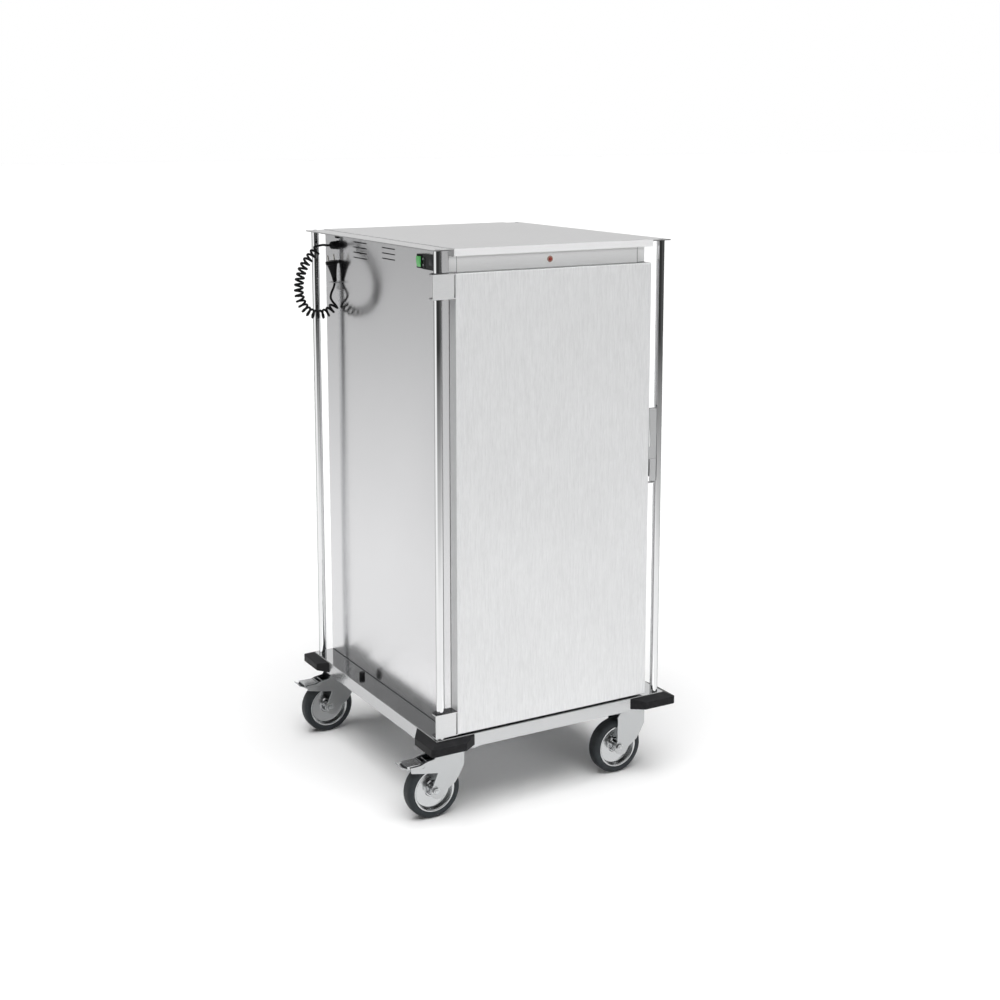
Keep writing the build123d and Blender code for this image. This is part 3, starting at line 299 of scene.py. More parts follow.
@dataclass(frozen=True)
class MouldedRubber(Finish):
    """Matt rubber with a fine skin, dust in its hollows and paler scuffs."""

    dust: float
    gloss: float = 0.5

    def paint(self, tree: Tree) -> None:
        """Scuffs lighten the colour, and the skin is a fine bump."""
        skin = tree.noise((1500.0, 1500.0, 1500.0), 2.0)
        scuff = tree.noise((45.0, 45.0, 45.0), 4.0, 0.7)
        dusty = tuple(min(1.0, c * (1 + self.dust) + 0.006) for c in self.colour)
        skin_colour = tree.mix(tree.span(scuff, 0.0, 1.0, 0.45, 0.75), self.colour, dusty)
        tree.links.new(skin_colour, tree.shader.inputs["Base Color"])
        tree.roughness(tree.span(scuff, self.rough - 0.05, self.rough + 0.12))
        tree.bump(skin, 0.25)
        tree.set(Specular_IOR_Level=self.gloss)


@dataclass(frozen=True)
class MouldedPlastic(Finish):
    """Moulded plastic with a spark-eroded skin, and a coat where it is glossy."""

    coat: float = 0.0
    light: float = 0.0
    gloss: float = 0.5

    def paint(self, tree: Tree) -> None:
        """A fine skin varies roughness and height."""
        skin = tree.noise((1100.0, 1100.0, 1100.0), 2.0)
        patch = tree.noise((60.0, 60.0, 60.0), 2.0)
        tree.tint(self.colour, tree.span(patch, 0.96, 1.04))
        tree.roughness(tree.span(skin, self.rough - 0.03, self.rough + 0.05))
        tree.bump(skin, 0.1, 0.0001)
        tree.set(Coat_Weight=self.coat, Specular_IOR_Level=self.gloss)
        tree.set(Emission_Color=(*self.colour, 1.0), Emission_Strength=self.light)


@dataclass(frozen=True)
class Wool(Finish):
    """Fibrous insulation."""

    def paint(self, tree: Tree) -> None:
        """Tangled fibres vary colour and height."""
        fibre = tree.noise((90.0, 240.0, 240.0), 5.0, 0.75)
        tree.tint(self.colour, tree.span(fibre, 0.8, 1.1))
        tree.bump(fibre, 0.7, 0.002)
        tree.set(Sheen_Weight=0.3)


FINE_RELIEF = 0.03

DOOR_STEEL = BrushedSteel("door_steel", (0.87, 0.875, 0.88), 0.42, Grain.UPRIGHT, 0.06, 0.015, 0.22)
FRONT_STEEL = BrushedSteel("front_steel", (0.8, 0.805, 0.81), 0.36, Grain.ACROSS, 0.02, 0.01, 0.25)
COLUMN_STEEL = BrushedSteel(
    "column_steel", (0.7, 0.705, 0.71), 0.24, Grain.UPRIGHT, 0.02, 0.01, 0.5, relief=FINE_RELIEF
)
PANEL_STEEL = BrushedSteel("panel_steel", (0.76, 0.76, 0.77), 0.17, Grain.UPRIGHT, 0.008, 0.008, 1.0, 0.92)
BACK_STEEL = BrushedSteel("back_steel", (0.74, 0.74, 0.75), 0.24, Grain.UPRIGHT, 0.015, 0.01, relief=0.05)
ROOF_STEEL = BrushedSteel("roof_steel", (0.58, 0.578, 0.58), 0.34, Grain.DEEP, 0.012, 0.01, 0.88)
COVER_STEEL = BrushedSteel("cover_steel", (0.94, 0.94, 0.945), 0.36, Grain.ACROSS, 0.012, 0.01, 0.05)
GRIP_STEEL = BrushedSteel("grip_steel", (0.6, 0.605, 0.61), 0.34, Grain.ACROSS, 0.02, 0.01, 0.3)
# Pale brushed sheet whose colour is raised near white: painted light that makes up for the shade under the
# roof cover's lip.
FASCIA_STEEL_PAINTED_LIGHT = BrushedSteel("fascia_steel_painted_light", (0.97, 0.975, 0.975), 0.36, Grain.ACROSS, 0.012, 0.01, 0.02)
# Near-black steel for the faces that look up or down on the door, its grip, the lock and the hinge brackets:
# painted shade and dark reflection along those edges, not the steel's own colour.
SHADED_EDGE_STEEL = BrushedSteel("painted_shade_edge_steel", (0.2, 0.2, 0.205), 0.25, Grain.ACROSS, 0.02, 0.02)
SKIRT_STEEL = BrushedSteel("skirt_steel", (0.54, 0.545, 0.55), 0.16, Grain.ACROSS, 0.015, 0.01, 0.9)
INNER_STEEL = BrushedSteel(
    "inner_steel", (0.7, 0.7, 0.71), 0.3, Grain.UPRIGHT, 0.02, 0.02, 0.85, relief=FINE_RELIEF
)
FRAME_STEEL = BrushedSteel(
    "frame_steel", (0.74, 0.745, 0.75), 0.28, Grain.UPRIGHT, 0.02, 0.01, 0.85, relief=FINE_RELIEF
)
RUNNER_STEEL = BrushedSteel(
    "runner_steel", (0.72, 0.72, 0.73), 0.26, Grain.DEEP, 0.03, 0.02, 0.9, relief=FINE_RELIEF
)
LEDGE_STEEL = MirrorSteel("ledge_steel", (0.66, 0.665, 0.67), 0.07, 0.05)
# The chrome's rim of 0 turns its reflection black at grazing angles: painted shade along the tubes' edges.
CHROME = MirrorSteel("chrome", (0.92, 0.925, 0.93), 0.03, 0.02, 0.0)
RIM_STEEL = MirrorSteel("rim_steel", (0.6, 0.61, 0.615), 0.16, 0.04)
ZINC = PlatedZinc("zinc", (0.49, 0.5, 0.505), 0.22)
BOLT_ZINC = PlatedZinc("bolt_zinc", (0.6, 0.605, 0.61), 0.3)
HEATER_STEEL = PlatedZinc("heater_steel", (0.36, 0.33, 0.3), 0.42)
MOTOR_METAL = PlatedZinc("motor_metal", (0.22, 0.22, 0.24), 0.5)
BUMPER_RUBBER = MouldedRubber("bumper_skin", (0.01, 0.01, 0.011), 0.45, 0.6, 0.16)
TYRE_RUBBER = MouldedRubber("tyre_skin", (0.024, 0.028, 0.031), 0.5, 0.5, 0.3)
CORD_RUBBER = MouldedRubber("cord_skin", (0.006, 0.006, 0.007), 0.42, 0.3, 0.12)
GASKET_RUBBER = MouldedRubber("gasket_skin", (0.06, 0.06, 0.065), 0.55, 0.4)
BLACK_PLASTIC = MouldedPlastic("black_moulding", (0.008, 0.008, 0.009), 0.38, 0.0, 0.0, 0.15)
GLOSS_BLACK = MouldedPlastic("gloss_moulding", (0.01, 0.011, 0.014), 0.22, 0.0, 0.0, 0.25)
WINDOW_BLACK = MouldedPlastic("window_glass", (0.008, 0.009, 0.02), 0.08, 0.0, 0.0, 0.35)
NYLON = MouldedPlastic("bush_nylon", (0.03, 0.03, 0.032), 0.4)
KEY_GREY = MouldedPlastic("key_moulding", (0.42, 0.43, 0.45), 0.4)
GREEN_KEY = MouldedPlastic("green_moulding", (0.13, 0.62, 0.16), 0.22, 0.3, 0.32)
LAMP_LENS = MouldedPlastic("lamp_lens", (0.42, 0.075, 0.06), 0.18, 0.6, 0.12)
LAMP_BEZEL = MouldedPlastic("lamp_bezel", (0.5, 0.3, 0.24), 0.28, 0.3)
PIN_METAL = MirrorSteel("pin_plate", (0.75, 0.73, 0.69), 0.18, 0.08)
WOOL = Wool("faced_wool", (0.035, 0.034, 0.03), 0.9)


def linked(name: str, data: bpy.types.ID) -> bpy.types.Object:
    """Object of a mesh, curve, camera or lamp, linked to the scene."""
    thing = bpy.data.objects.new(name, data)
    bpy.context.scene.collection.objects.link(thing)
    return thing


def mesh_of(form: bmesh.types.BMesh, name: str) -> bpy.types.Mesh:
    """Mesh of a form, which is freed."""
    mesh = bpy.data.meshes.new(name)
    form.to_mesh(mesh)
    form.free()
    return mesh


def finished(form: bmesh.types.BMesh, name: str) -> bpy.types.Object:
    """Piece of a form whose place is in its points, smooth but for its sharp edges."""
    mesh = mesh_of(form, name)
    mesh.shade_smooth()
    mesh.set_sharp_from_angle(angle=math.radians(SHARP_DEG))
    return linked(name, mesh)


def plain_mesh(piece: bpy.types.Object) -> bpy.types.Mesh:
    """The evaluated mesh of a piece with its modifiers, as a mesh of its own."""
    return bpy.data.meshes.new_from_object(piece.evaluated_get(bpy.context.evaluated_depsgraph_get()))


def dressed(
    piece: bpy.types.Object, body: str, finish: Finish, slot: Slot, *replaces: str
) -> bpy.types.Object:
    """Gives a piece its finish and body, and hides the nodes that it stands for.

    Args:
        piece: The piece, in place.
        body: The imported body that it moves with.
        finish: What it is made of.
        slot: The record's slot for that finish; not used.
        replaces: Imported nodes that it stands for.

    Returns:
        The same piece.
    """
    piece.data.materials.clear()
    piece.data.materials.append(finish.material())
    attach(piece, body)
    if replaces:
        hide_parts(*replaces)
    log.info("%s rides on %s%s", piece.name, body, f" for {', '.join(replaces)}" if replaces else "")
    return piece


def paint_node(node: str, finish: Finish, other: Finish | None = None, axis: int = 2) -> None:
    """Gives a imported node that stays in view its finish.

    Args:
        node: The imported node.
        finish: What it is made of.
        other: Finish of the faces that look along one axis, where they differ.
        axis: That axis, as 0, 1 or 2.
    """
    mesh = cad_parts[node].data
    mesh.materials.clear()
    mesh.materials.append(finish.material())
    if other:
        mesh.materials.append(other.material())
        for face in mesh.polygons:
            face.material_index = int(abs(face.normal[axis]) > 0.9)


def softened(
    node: str, name: str, width: float, body: str, finish: Finish, slot: Slot, segments: int = 2
) -> bpy.types.Object:
    """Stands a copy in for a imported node, with its flat faces joined and its edges rounded.

    Args:
        node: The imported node.
        name: Name of the new piece.
        width: Width of the rounding.
        body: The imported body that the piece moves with.
        finish: What it is made of.
        slot: The record's slot for that finish.
        segments: Faces across the rounding.

    Returns:
        The new piece.
    """
    form = bmesh.new()
    form.from_mesh(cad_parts[node].data)
    bmesh.ops.remove_doubles(form, verts=form.verts, dist=WELD)
    bmesh.ops.dissolve_limit(form, angle_limit=math.radians(FLAT_DEG), verts=form.verts, edges=form.edges)
    raw = finished(form, name)
    bevel = raw.modifiers.new("rounding", "BEVEL")
    bevel.width = width
    bevel.segments = segments
    bevel.limit_method = "ANGLE"
    bevel.angle_limit = math.radians(ROUND_DEG)
    bevel.use_clamp_overlap = True
    bevel.miter_outer = "MITER_ARC"
    raw.modifiers.new("flat_faces", "WEIGHTED_NORMAL").keep_sharp = True
    rounded = plain_mesh(raw)
    bpy.data.objects.remove(raw)
    return dressed(linked(name, rounded), body, finish, slot, node)


def turned(
    name: str,
    outline: Outline,
    centre: Vector,
    axis: Vector,
    sides: int = 64,
    start: float = 0.0,
    closed: bool = True,
) -> bpy.types.Object:
    """Piece turned from an outline of (radius, height) in millimetres about an axis.

    Args:
        name: Name of the piece.
        outline: Points of the outline. One that starts and ends at radius 0 is left open.
        centre: Point of the axis at height 0.
        axis: Way of rising height.
        sides: Faces round the axis.
        start: Angle of the first face, in degrees.
        closed: Whether the last point of any other outline joins its first.

    Returns:
        The piece, in place.
    """
    open_end = not closed or (outline[0][0] == 0 and outline[-1][0] == 0)
    turn = axis.to_track_quat("Z", "Y").to_matrix().to_4x4()
    seat = Matrix.Translation(centre) @ turn
    form = bmesh.new()
    rings = []
    for radius, height in outline:
        if radius == 0:
            rings.append([form.verts.new(seat @ Vector((0, 0, height / 1000)))])
            continue
        ring = []
        for k in range(sides):
            angle = math.radians(start) + 2 * math.pi * k / sides
            point = Vector((radius * math.cos(angle), radius * math.sin(angle), height)) / 1000
            ring.append(form.verts.new(seat @ point))
        rings.append(ring)
    pairs = list(zip(rings, rings[1:]))
    if not open_end:
        pairs.append((rings[-1], rings[0]))
    for low, high in pairs:
        for k in range(sides):
            after = (k + 1) % sides
            if len(low) == 1:
                form.faces.new((low[0], high[after], high[k]))
            elif len(high) == 1:
                form.faces.new((low[k], low[after], high[0]))
            else:
                form.faces.new((low[k], low[after], high[after], high[k]))
    bmesh.ops.recalc_face_normals(form, faces=form.faces)
    return finished(form, name)


def block(name: str, centre: Vector, size_mm: Triple, round_mm: float) -> bpy.types.Object:
    """Block with rounded edges, in place.

    Args:
        name: Name of the piece.
        centre: Its middle.
        size_mm: Its lengths along X, Y and Z.
        round_mm: Radius of its edges.

    Returns:
        The piece.
    """
    form = bmesh.new()
    bmesh.ops.create_cube(form, size=1.0)
    bmesh.ops.scale(form, vec=Vector(size_mm) / 1000, verts=form.verts)
    edges, width = form.edges[:], round_mm / 1000
    bmesh.ops.bevel(
        form, geom=edges, offset=width, segments=3, profile=0.5, affect="EDGES", clamp_overlap=True
    )
    bmesh.ops.translate(form, vec=centre, verts=form.verts)
    return finished(form, name)


def joined(name: str, *parts: bpy.types.Object) -> bpy.types.Object:
    """Joins pieces that lie in place into one, keeping each one's smooth and sharp edges."""
    form = bmesh.new()
    for part in parts:
        form.from_mesh(part.data)
        bpy.data.objects.remove(part)
    return linked(name, mesh_of(form, name))


class Repeater:
    """A Geometry Nodes tree that sets one small part on places that it works out, and ends in plain mesh."""

    def __init__(self, name: str, inputs: dict[str, str]) -> None:
        """Starts the tree.

        Args:
            name: Name of the tree.
            inputs: Socket type of each named input.
        """
        self.tree = bpy.data.node_groups.new(name, "GeometryNodeTree")
        self.sockets = {
            key: self.tree.interface.new_socket(key, in_out="INPUT", socket_type=kind)
            for key, kind in inputs.items()
        }
        self.tree.interface.new_socket("Geometry", in_out="OUTPUT", socket_type="NodeSocketGeometry")
        self.given = self.tree.nodes.new("NodeGroupInput")
        self.result = self.tree.nodes.new("NodeGroupOutput")

    def add(self, kind: str, links: dict[str, object], **options: object) -> object:
        """Adds a node.

        Args:
            kind: Its type, without the words that all such types start with.
            links: For each input, a value to set, a socket to link or a list of sockets.
            options: Properties of the node.

        Returns:
            The node's first output.
        """
        node = self.tree.nodes.new(kind if kind.startswith("Function") else f"GeometryNode{kind}")
        for key, value in options.items():
            setattr(node, key, value)
        for key, value in links.items():
            socket = next(s for s in node.inputs if s.name == key and s.enabled)
            sources = value if isinstance(value, list) else [value]
            if isinstance(sources[0], bpy.types.NodeSocket):
                for source in sources:
                    self.tree.links.new(source, socket)
            else:
                socket.default_value = value
        return node.outputs[0]

    def close(self, geometry: object, material: bpy.types.Material) -> None:
        """Realizes the instances, sets the material and ends the tree."""
        real = self.add("RealizeInstances", {"Geometry": geometry})
        flat = self.add("SetShadeSmooth", {"Geometry": real, "Shade Smooth": False})
        coat = self.add("SetMaterial", {"Geometry": flat, "Material": material})
        self.tree.links.new(coat, self.result.inputs["Geometry"])

    def run(self, name: str, values: dict[str, object]) -> bpy.types.Object:
        """Makes one piece of the tree with the given inputs.

        Args:
            name: Name of the piece.
            values: Value of each named input.

        Returns:
            The piece as a plain mesh.
        """
        carrier = linked(name, bpy.data.meshes.new(name))
        modifier = carrier.modifiers.new("repeat", "NODES")
        modifier.node_group = self.tree
        for key, value in values.items():
            modifier[self.sockets[key].identifier] = value
        mesh = plain_mesh(carrier)
        bpy.data.objects.remove(carrier)
        return linked(name, mesh)


def row_of_heads(material: bpy.types.Material) -> Repeater:
    """Tree that sets screw heads with their washers along a straight row."""
    vector = "NodeSocketVector"
    inputs = {"Start": vector, "Step": vector, "Count": "NodeSocketInt", "Turn": vector}
    heads = Repeater("row_of_heads", inputs)
    start, step, count, turn = (heads.given.outputs[key] for key in inputs)
    line = heads.add("MeshLine", {"Count": count, "Start Location": start, "Offset": step})
    head = heads.add("MeshCylinder", {"Vertices": 16, "Radius": 0.0035, "Depth": 0.0024})
    raised = heads.add("Transform", {"Geometry": head, "Translation": (0.0, 0.0, 0.0012)})
    washer = heads.add("MeshCylinder", {"Vertices": 28, "Radius": 0.005, "Depth": 0.0024})
    screw = heads.add("JoinGeometry", {"Geometry": [raised, washer]})
    laid = heads.add("Transform", {"Geometry": screw, "Rotation": turn})
    heads.close(heads.add("InstanceOnPoints", {"Points": line, "Instance": laid}), material)
    return heads


def ring_of_ribs(material: bpy.types.Material) -> Repeater:
    """Tree that sets upright ribs round a ring, as on a fluted cap."""
    vector = "NodeSocketVector"
    inputs = {"Count": "NodeSocketInt", "Radius": "NodeSocketFloat"}
    inputs |= {"Rib": vector, "Turn": vector, "Centre": vector}
    ribs = Repeater("ring_of_ribs", inputs)
    count, radius, size, turn, centre = (ribs.given.outputs[key] for key in inputs)
    ring = ribs.add("MeshCircle", {"Vertices": count, "Radius": radius})
    rib = ribs.add("MeshCube", {"Size": size})
    spot = ribs.add("InputPosition", {})
    outward = ribs.add("FunctionNodeAlignRotationToVector", {"Vector": spot}, axis="X")
    placed = ribs.add("InstanceOnPoints", {"Points": ring, "Instance": rib, "Rotation": outward})
    seated = ribs.add("Transform", {"Geometry": placed, "Rotation": turn, "Translation": centre})
    ribs.close(seated, material)
    return ribs


class Paint(Graph):
    """A stage material with one shader for matt pieces and another for polished pieces and the lens."""

    def __init__(self, owner: bpy.types.Material | bpy.types.World) -> None:
        """Empties the tree.

        Args:
            owner: The material or world.
        """
        super().__init__(owner)
        self.nodes.clear()

    def ramp(self, source: object, stops: tuple[tuple[float, float], ...]) -> object:
        """Grey that follows a value through the given stops of value and shade."""
        low, high = stops[0][0], stops[-1][0]
        ramp = self.nodes.new("ShaderNodeValToRGB")
        while len(ramp.color_ramp.elements) < len(stops):
            ramp.color_ramp.elements.new(0.5)
        for element, (value, shade) in zip(ramp.color_ramp.elements, stops):
            element.position = (value - low) / (high - low)
            element.color = (shade, shade, shade, 1.0)
        self.links.new(self.span(source, 0.0, 1.0, low, high), ramp.inputs["Fac"])
        return ramp.outputs["Color"]

    def seen(self) -> object:
        """1 on rays of the lens and of mirrored or refracted views, 0 on all others."""
        path = self.nodes.new("ShaderNodeLightPath")
        bent = self.number("MAXIMUM", path.outputs["Is Glossy Ray"], path.outputs["Is Transmission Ray"])
        return self.number("MAXIMUM", path.outputs["Is Camera Ray"], bent)

    def finish(self, matt: object, shown: object, kind: str) -> None:
        """Ends the tree.

        Args:
            matt: Shader that lights matt pieces.
            shown: Shader that the lens and polished pieces see.
            kind: Type of the output node.
        """
        both = self.nodes.new("ShaderNodeMixShader")
        self.links.new(self.seen(), both.inputs["Fac"])
        self.links.new(matt, both.inputs[1])
        self.links.new(shown, both.inputs[2])
        out = self.nodes.new(kind)
        self.links.new(both.outputs["Shader"], out.inputs["Surface"])


@dataclass
class Studio:
    """Camera, floor, sweep, lamps and surroundings.

    The sweep's outline is in millimetres. It has four paints, each a table of distance and shade. The pool is
    the first, and the others go over it by their tables of angle and cover.
    """

    lens_mm: float = 55.9
    sensor_mm: float = 36.0
    sight: float = 200.0
    shift_y: float = -0.1324
    eye: Vector = field(default_factory=lambda: Vector((-2.1832, -3.9385, 1.8988)))
    tilt_deg: float = 80.85
    turn_deg: float = -30.006
    floor_half: float = 60.0
    floor_shade: float = 0.95
    floor_matt: float = 0.25
    floor_lift: float = 0.005
    dome_strength: float = 0.06
    lamps: tuple = (
        ("lamp_above", (0.1, 0.2, -1.0), 3.45, 62.0),
        ("lamp_front", (-0.2, 0.98, -0.04), 2.2, 36.0),
    )
    sweep: tuple = (
        *((1050.0, 4.0), (1400.0, 10.0), (1700.0, 40.0), (3600.0, 640.0)),
        *((5600.0, 1280.0), (6000.0, 1700.0), (6200.0, 2300.0), (6500.0, 4500.0)),
    )
    pool: tuple = ((1.0, 0.93), (1.4, 0.96), (2.0, 0.88), (2.45, 0.6), (3.15, 0.3), (4.0, 0.03), (7.0, 0.02))
    slope: tuple = (
        *((1.0, 0.93), (1.4, 0.98), (2.0, 0.98), (3.0, 0.8), (4.2, 0.6)),
        *((5.2, 0.48), (6.0, 0.42), (6.12, 0.4), (6.2, 0.22), (7.0, 0.2)),
    )
    haze: tuple = ((1.0, 0.96), (7.0, 0.8))
    window: tuple = ((1.0, 0.95), (7.0, 1.0))
    slope_deg: tuple = (
        *((-180.0, 1.0), (-166.0, 1.0), (-144.0, 0.0), (-84.0, 0.02), (-60.0, 0.12), (-25.0, 0.08)),
        *((15.0, 0.3), (50.0, 1.0), (124.0, 1.0), (130.0, 0.5), (138.0, 0.5), (146.0, 1.0), (180.0, 1.0)),
    )
    haze_deg: tuple = ((-180.0, 0.0), (20.0, 0.0), (45.0, 1.0), (86.0, 1.0), (98.0, 0.0), (180.0, 0.0))
    window_deg: tuple = (
        *((-180.0, 1.0), (-168.0, 0.8), (-158.0, 0.0)),
        *((146.0, 0.0), (154.0, 1.0), (180.0, 1.0)),
    )

    def set_camera(self) -> None:
        """Puts the camera where the photograph was taken from."""
        data = bpy.data.cameras.new("camera")
        data.lens = self.lens_mm
        data.sensor_width = self.sensor_mm
        data.shift_y = self.shift_y
        data.clip_end = self.sight
        camera = linked("camera", data)
        camera.location = self.eye
        camera.rotation_euler = (math.radians(self.tilt_deg), 0, math.radians(self.turn_deg))
        bpy.context.scene.camera = camera

    def set_floor(self) -> None:
        """Lays a pale floor that reads white and keeps the shadow."""
        form = bmesh.new()
        bmesh.ops.create_grid(form, x_segments=1, y_segments=1, size=self.floor_half)
        floor = linked("floor", mesh_of(form, "floor"))
        paint = Paint(bpy.data.materials.new("floor_paint"))
        matt, pale = (paint.nodes.new("ShaderNodeBsdfDiffuse") for _ in range(2))
        matt.inputs["Color"].default_value = (*[self.floor_matt] * 3, 1.0)
        pale.inputs["Color"].default_value = (*[self.floor_shade] * 3, 1.0)
        lift = paint.nodes.new("ShaderNodeEmission")
        lift.inputs["Strength"].default_value = self.floor_lift
        shown = paint.nodes.new("ShaderNodeAddShader")
        paint.links.new(pale.outputs["BSDF"], shown.inputs[0])
        paint.links.new(lift.outputs["Emission"], shown.inputs[1])
        paint.finish(matt.outputs["BSDF"], shown.outputs["Shader"], "ShaderNodeOutputMaterial")
        floor.data.materials.append(paint.owner)

    def set_sweep(self) -> None:
        """Stands a round sweep about the trolley that only polished pieces see.

        It is pale at the left and the back, darker with its height, and dark at the front and the right.
        """
        sweep = turned("sweep", self.sweep, at(0, 0, 0), UP, sides=96, closed=False)
        paint = Paint(bpy.data.materials.new("sweep_paint"))
        spot = paint.nodes.new("ShaderNodeTexCoord")
        split = paint.nodes.new("ShaderNodeSeparateXYZ")
        paint.links.new(spot.outputs["Object"], split.inputs["Vector"])
        x, y = split.outputs["X"], split.outputs["Y"]
        squares = (paint.number("POWER", axis, 2.0) for axis in (x, y))
        reach = paint.number("SQRT", paint.number("ADD", *squares))
        angle = paint.number("DEGREES", paint.number("ARCTAN2", y, x))
        shade = paint.ramp(reach, self.pool)
        for sector, distance in (
            (self.slope_deg, self.slope),
            (self.haze_deg, self.haze),
            (self.window_deg, self.window),
        ):
            shade = paint.mix(paint.ramp(angle, sector), shade, paint.ramp(reach, distance))
        glow = paint.nodes.new("ShaderNodeEmission")
        paint.links.new(shade, glow.inputs["Color"])
        out = paint.nodes.new("ShaderNodeOutputMaterial")
        paint.links.new(glow.outputs["Emission"], out.inputs["Surface"])
        sweep.data.materials.append(paint.owner)
        for ray in ("camera", "diffuse", "shadow", "transmission"):
            setattr(sweep, f"visible_{ray}", False)

    def set_surroundings(self) -> None:
        """White for the lens and for polished pieces, and an even dome for matt ones."""
        bpy.context.scene.world = bpy.data.worlds.new("surroundings")
        paint = Paint(bpy.context.scene.world)
        dome, white = (paint.nodes.new("ShaderNodeBackground") for _ in range(2))
        dome.inputs["Strength"].default_value = self.dome_strength
        dome.inputs["Color"].default_value = white.inputs["Color"].default_value = (1.0, 1.0, 1.0, 1.0)
        paint.finish(dome.outputs["Background"], white.outputs["Background"], "ShaderNodeOutputWorld")

    def set_lamps(self) -> None:
        """Hangs one broad soft lamp overhead and a weaker one at the front."""
        for name, way, strength, spread_deg in self.lamps:
            data = bpy.data.lights.new(name, "SUN")
            data.energy = strength
            data.angle = math.radians(spread_deg)
            lamp = linked(name, data)
            lamp.rotation_euler = Vector(way).to_track_quat("-Z", "Y").to_euler()
            lamp.visible_glossy = False

    def build(self) -> None:
        """Sets everything up."""
        bpy.context.scene.view_settings.view_transform = "Standard"
        self.set_camera()
        self.set_floor()
        self.set_sweep()
        self.set_surroundings()
        self.set_lamps()
        log.info("studio is set")


@dataclass
class ConnectionCord:
    """The mains cord: a lead from the gland, a curly length and a tail up to the plug."""

    wire: float = 0.007
    curl_radius: float = 0.0115
    half_turns: int = 40
    points_per_turn: int = 16
    depth_mm: float = 322.0
    lead: tuple = ((-338, 320, 1523), (-349, 320, 1523), (-358.5, 318.2, 1525), (-367.5, 315, 1525.3))
    tail: tuple = (
        *((-321, 327, 1343), (-331, 325, 1353), (-340, 321, 1366)),
        *((-336, 320, 1383), (-326, 322, 1398), (-323.2, 322.4, 1414.1)),
    )
    loop: tuple = (
        *((-378, 1513), (-406, 1487), (-425, 1462), (-437, 1429), (-441.5, 1394), (-436, 1362)),
        *((-421.5, 1336), (-400.6, 1321), (-370, 1316), (-341, 1325), (-326, 1342)),
    )

    @staticmethod
    def spline(name: str, points: list[Vector]) -> bpy.types.Object:
        """Smooth open curve with the points as its control points."""
        data = bpy.data.curves.new(name, "CURVE")
        data.dimensions = "3D"
        data.resolution_u = 6
        line = data.splines.new("NURBS")
        line.points.add(len(points) - 1)
        for knot, point in zip(line.points, points):
            knot.co = (*point, 1.0)
        line.order_u = 3
        line.use_endpoint_u = True
        return linked(name, data)

    def helix(self) -> list[Vector]:
        """Points of the curls, wound about the loop's own smooth line."""
        route = self.spline("loop_line", [at(x, self.depth_mm, z) for x, z in self.loop])
        route.data.resolution_u = 24
        line = [v.co.copy() for v in plain_mesh(route).vertices]
        bpy.data.objects.remove(route)
        gone = [0.0]
        for before, after in zip(line, line[1:]):
            gone.append(gone[-1] + (after - before).length)
        steps = self.half_turns * self.points_per_turn // 2
        points = []
        k = 0
        for step in range(steps + 1):
            along = gone[-1] * step / steps
            while k < len(gone) - 2 and gone[k + 1] < along:
                k += 1
            way = (line[k + 1] - line[k]).normalized()
            middle = line[k] + way * (along - gone[k])
            outward = Vector((way.z, 0, -way.x))
            angle = math.pi * self.half_turns * step / steps
            points.append(
                middle + self.curl_radius * (math.cos(angle) * outward + math.sin(angle) * Vector((0, 1, 0)))
            )
        return points

    def build(self) -> bpy.types.Object:
        """Makes the cord as one smooth curve and returns it."""
        points = [at(*p) for p in self.lead] + self.helix() + [at(*p) for p in self.tail]
        cord = self.spline("mains_cord", points)
        cord.data.bevel_depth = self.wire / 2
        cord.data.bevel_resolution = 4
        cord.data.resolution_u = 3
        cord.data.use_fill_caps = True
        dressed(cord, CABINET, CORD_RUBBER, Slot.CORD, "cord_lead", "cord_curl", "cord_tail")
        return cord


@dataclass
class Plug:
    """The moulded plug that hangs in the holder, with its pins and earth clips."""

    seat: Vector = field(default_factory=lambda: at(-323.2, 322.4, 1414.1))
    before: Vector = field(default_factory=lambda: at(-321.2, 322.0, 1400.3))
    length_mm: float = 62.6
    pin_mm: float = 19.0
    ribs: int = 6

    @property
    def way(self) -> Vector:
        """Way from the cord to the pins."""
        return (self.seat - self.before).normalized()

    def body_outline(self) -> Outline:
        """Outline of the moulding: a ribbed neck, a waist and a wide face."""
        neck = [(0.0, 0.0), (4.4, 0.2), (5.9, 1.0)]
        for rib in range(self.ribs):
            low = 1.6 + 1.85 * rib
            widest = 6.4 + 0.18 * rib
            neck += [(widest, low), (widest, low + 0.95)]
            neck += [(widest - 1.1, low + 1.2), (widest - 1.1, low + 1.6)]
        flank = [(7.0, 12.8), (7.6, 14.0), (8.4, 20.0), (9.8, 28.0), (11.4, 36.0), (13.2, 43.0)]
        flank += [(14.6, 48.4), (15.6, 51.0)]
        face = [(18.2, 52.4), (19.0, 53.6), (19.0, 60.4), (18.6, 61.6), (17.6, 62.4)]
        face += [(9.0, 62.5), (0.0, 62.5)]
        return neck + flank + face

    def build(self) -> list[bpy.types.Object]:
        """Makes the plug and returns its pieces."""
        moulding = turned("plug_moulding", self.body_outline(), self.seat, self.way, sides=56)
        dressed(moulding, CABINET, CORD_RUBBER, Slot.CORD, "plug_body")
        side = Vector((self.way.z, 0, -self.way.x)).normalized()
        face = self.seat + self.way * (self.length_mm / 1000)
        pins = []
        for sign in (-1, 1):
            tip = self.pin_mm - 0.05
            outline = [(0.0, -2.0), (2.4, -2.0), (2.4, tip - 1.55), (2.1, tip - 0.55), (1.3, tip), (0.0, tip)]
            foot = face + side * (sign * self.pin_mm / 2000)
            pins.append(turned("pin", outline, foot, self.way, sides=24))
        pins = joined("plug_contact_pins", *pins)
        dressed(pins, CABINET, PIN_METAL, Slot.PINS, "plug_pins")
        return [moulding, pins]


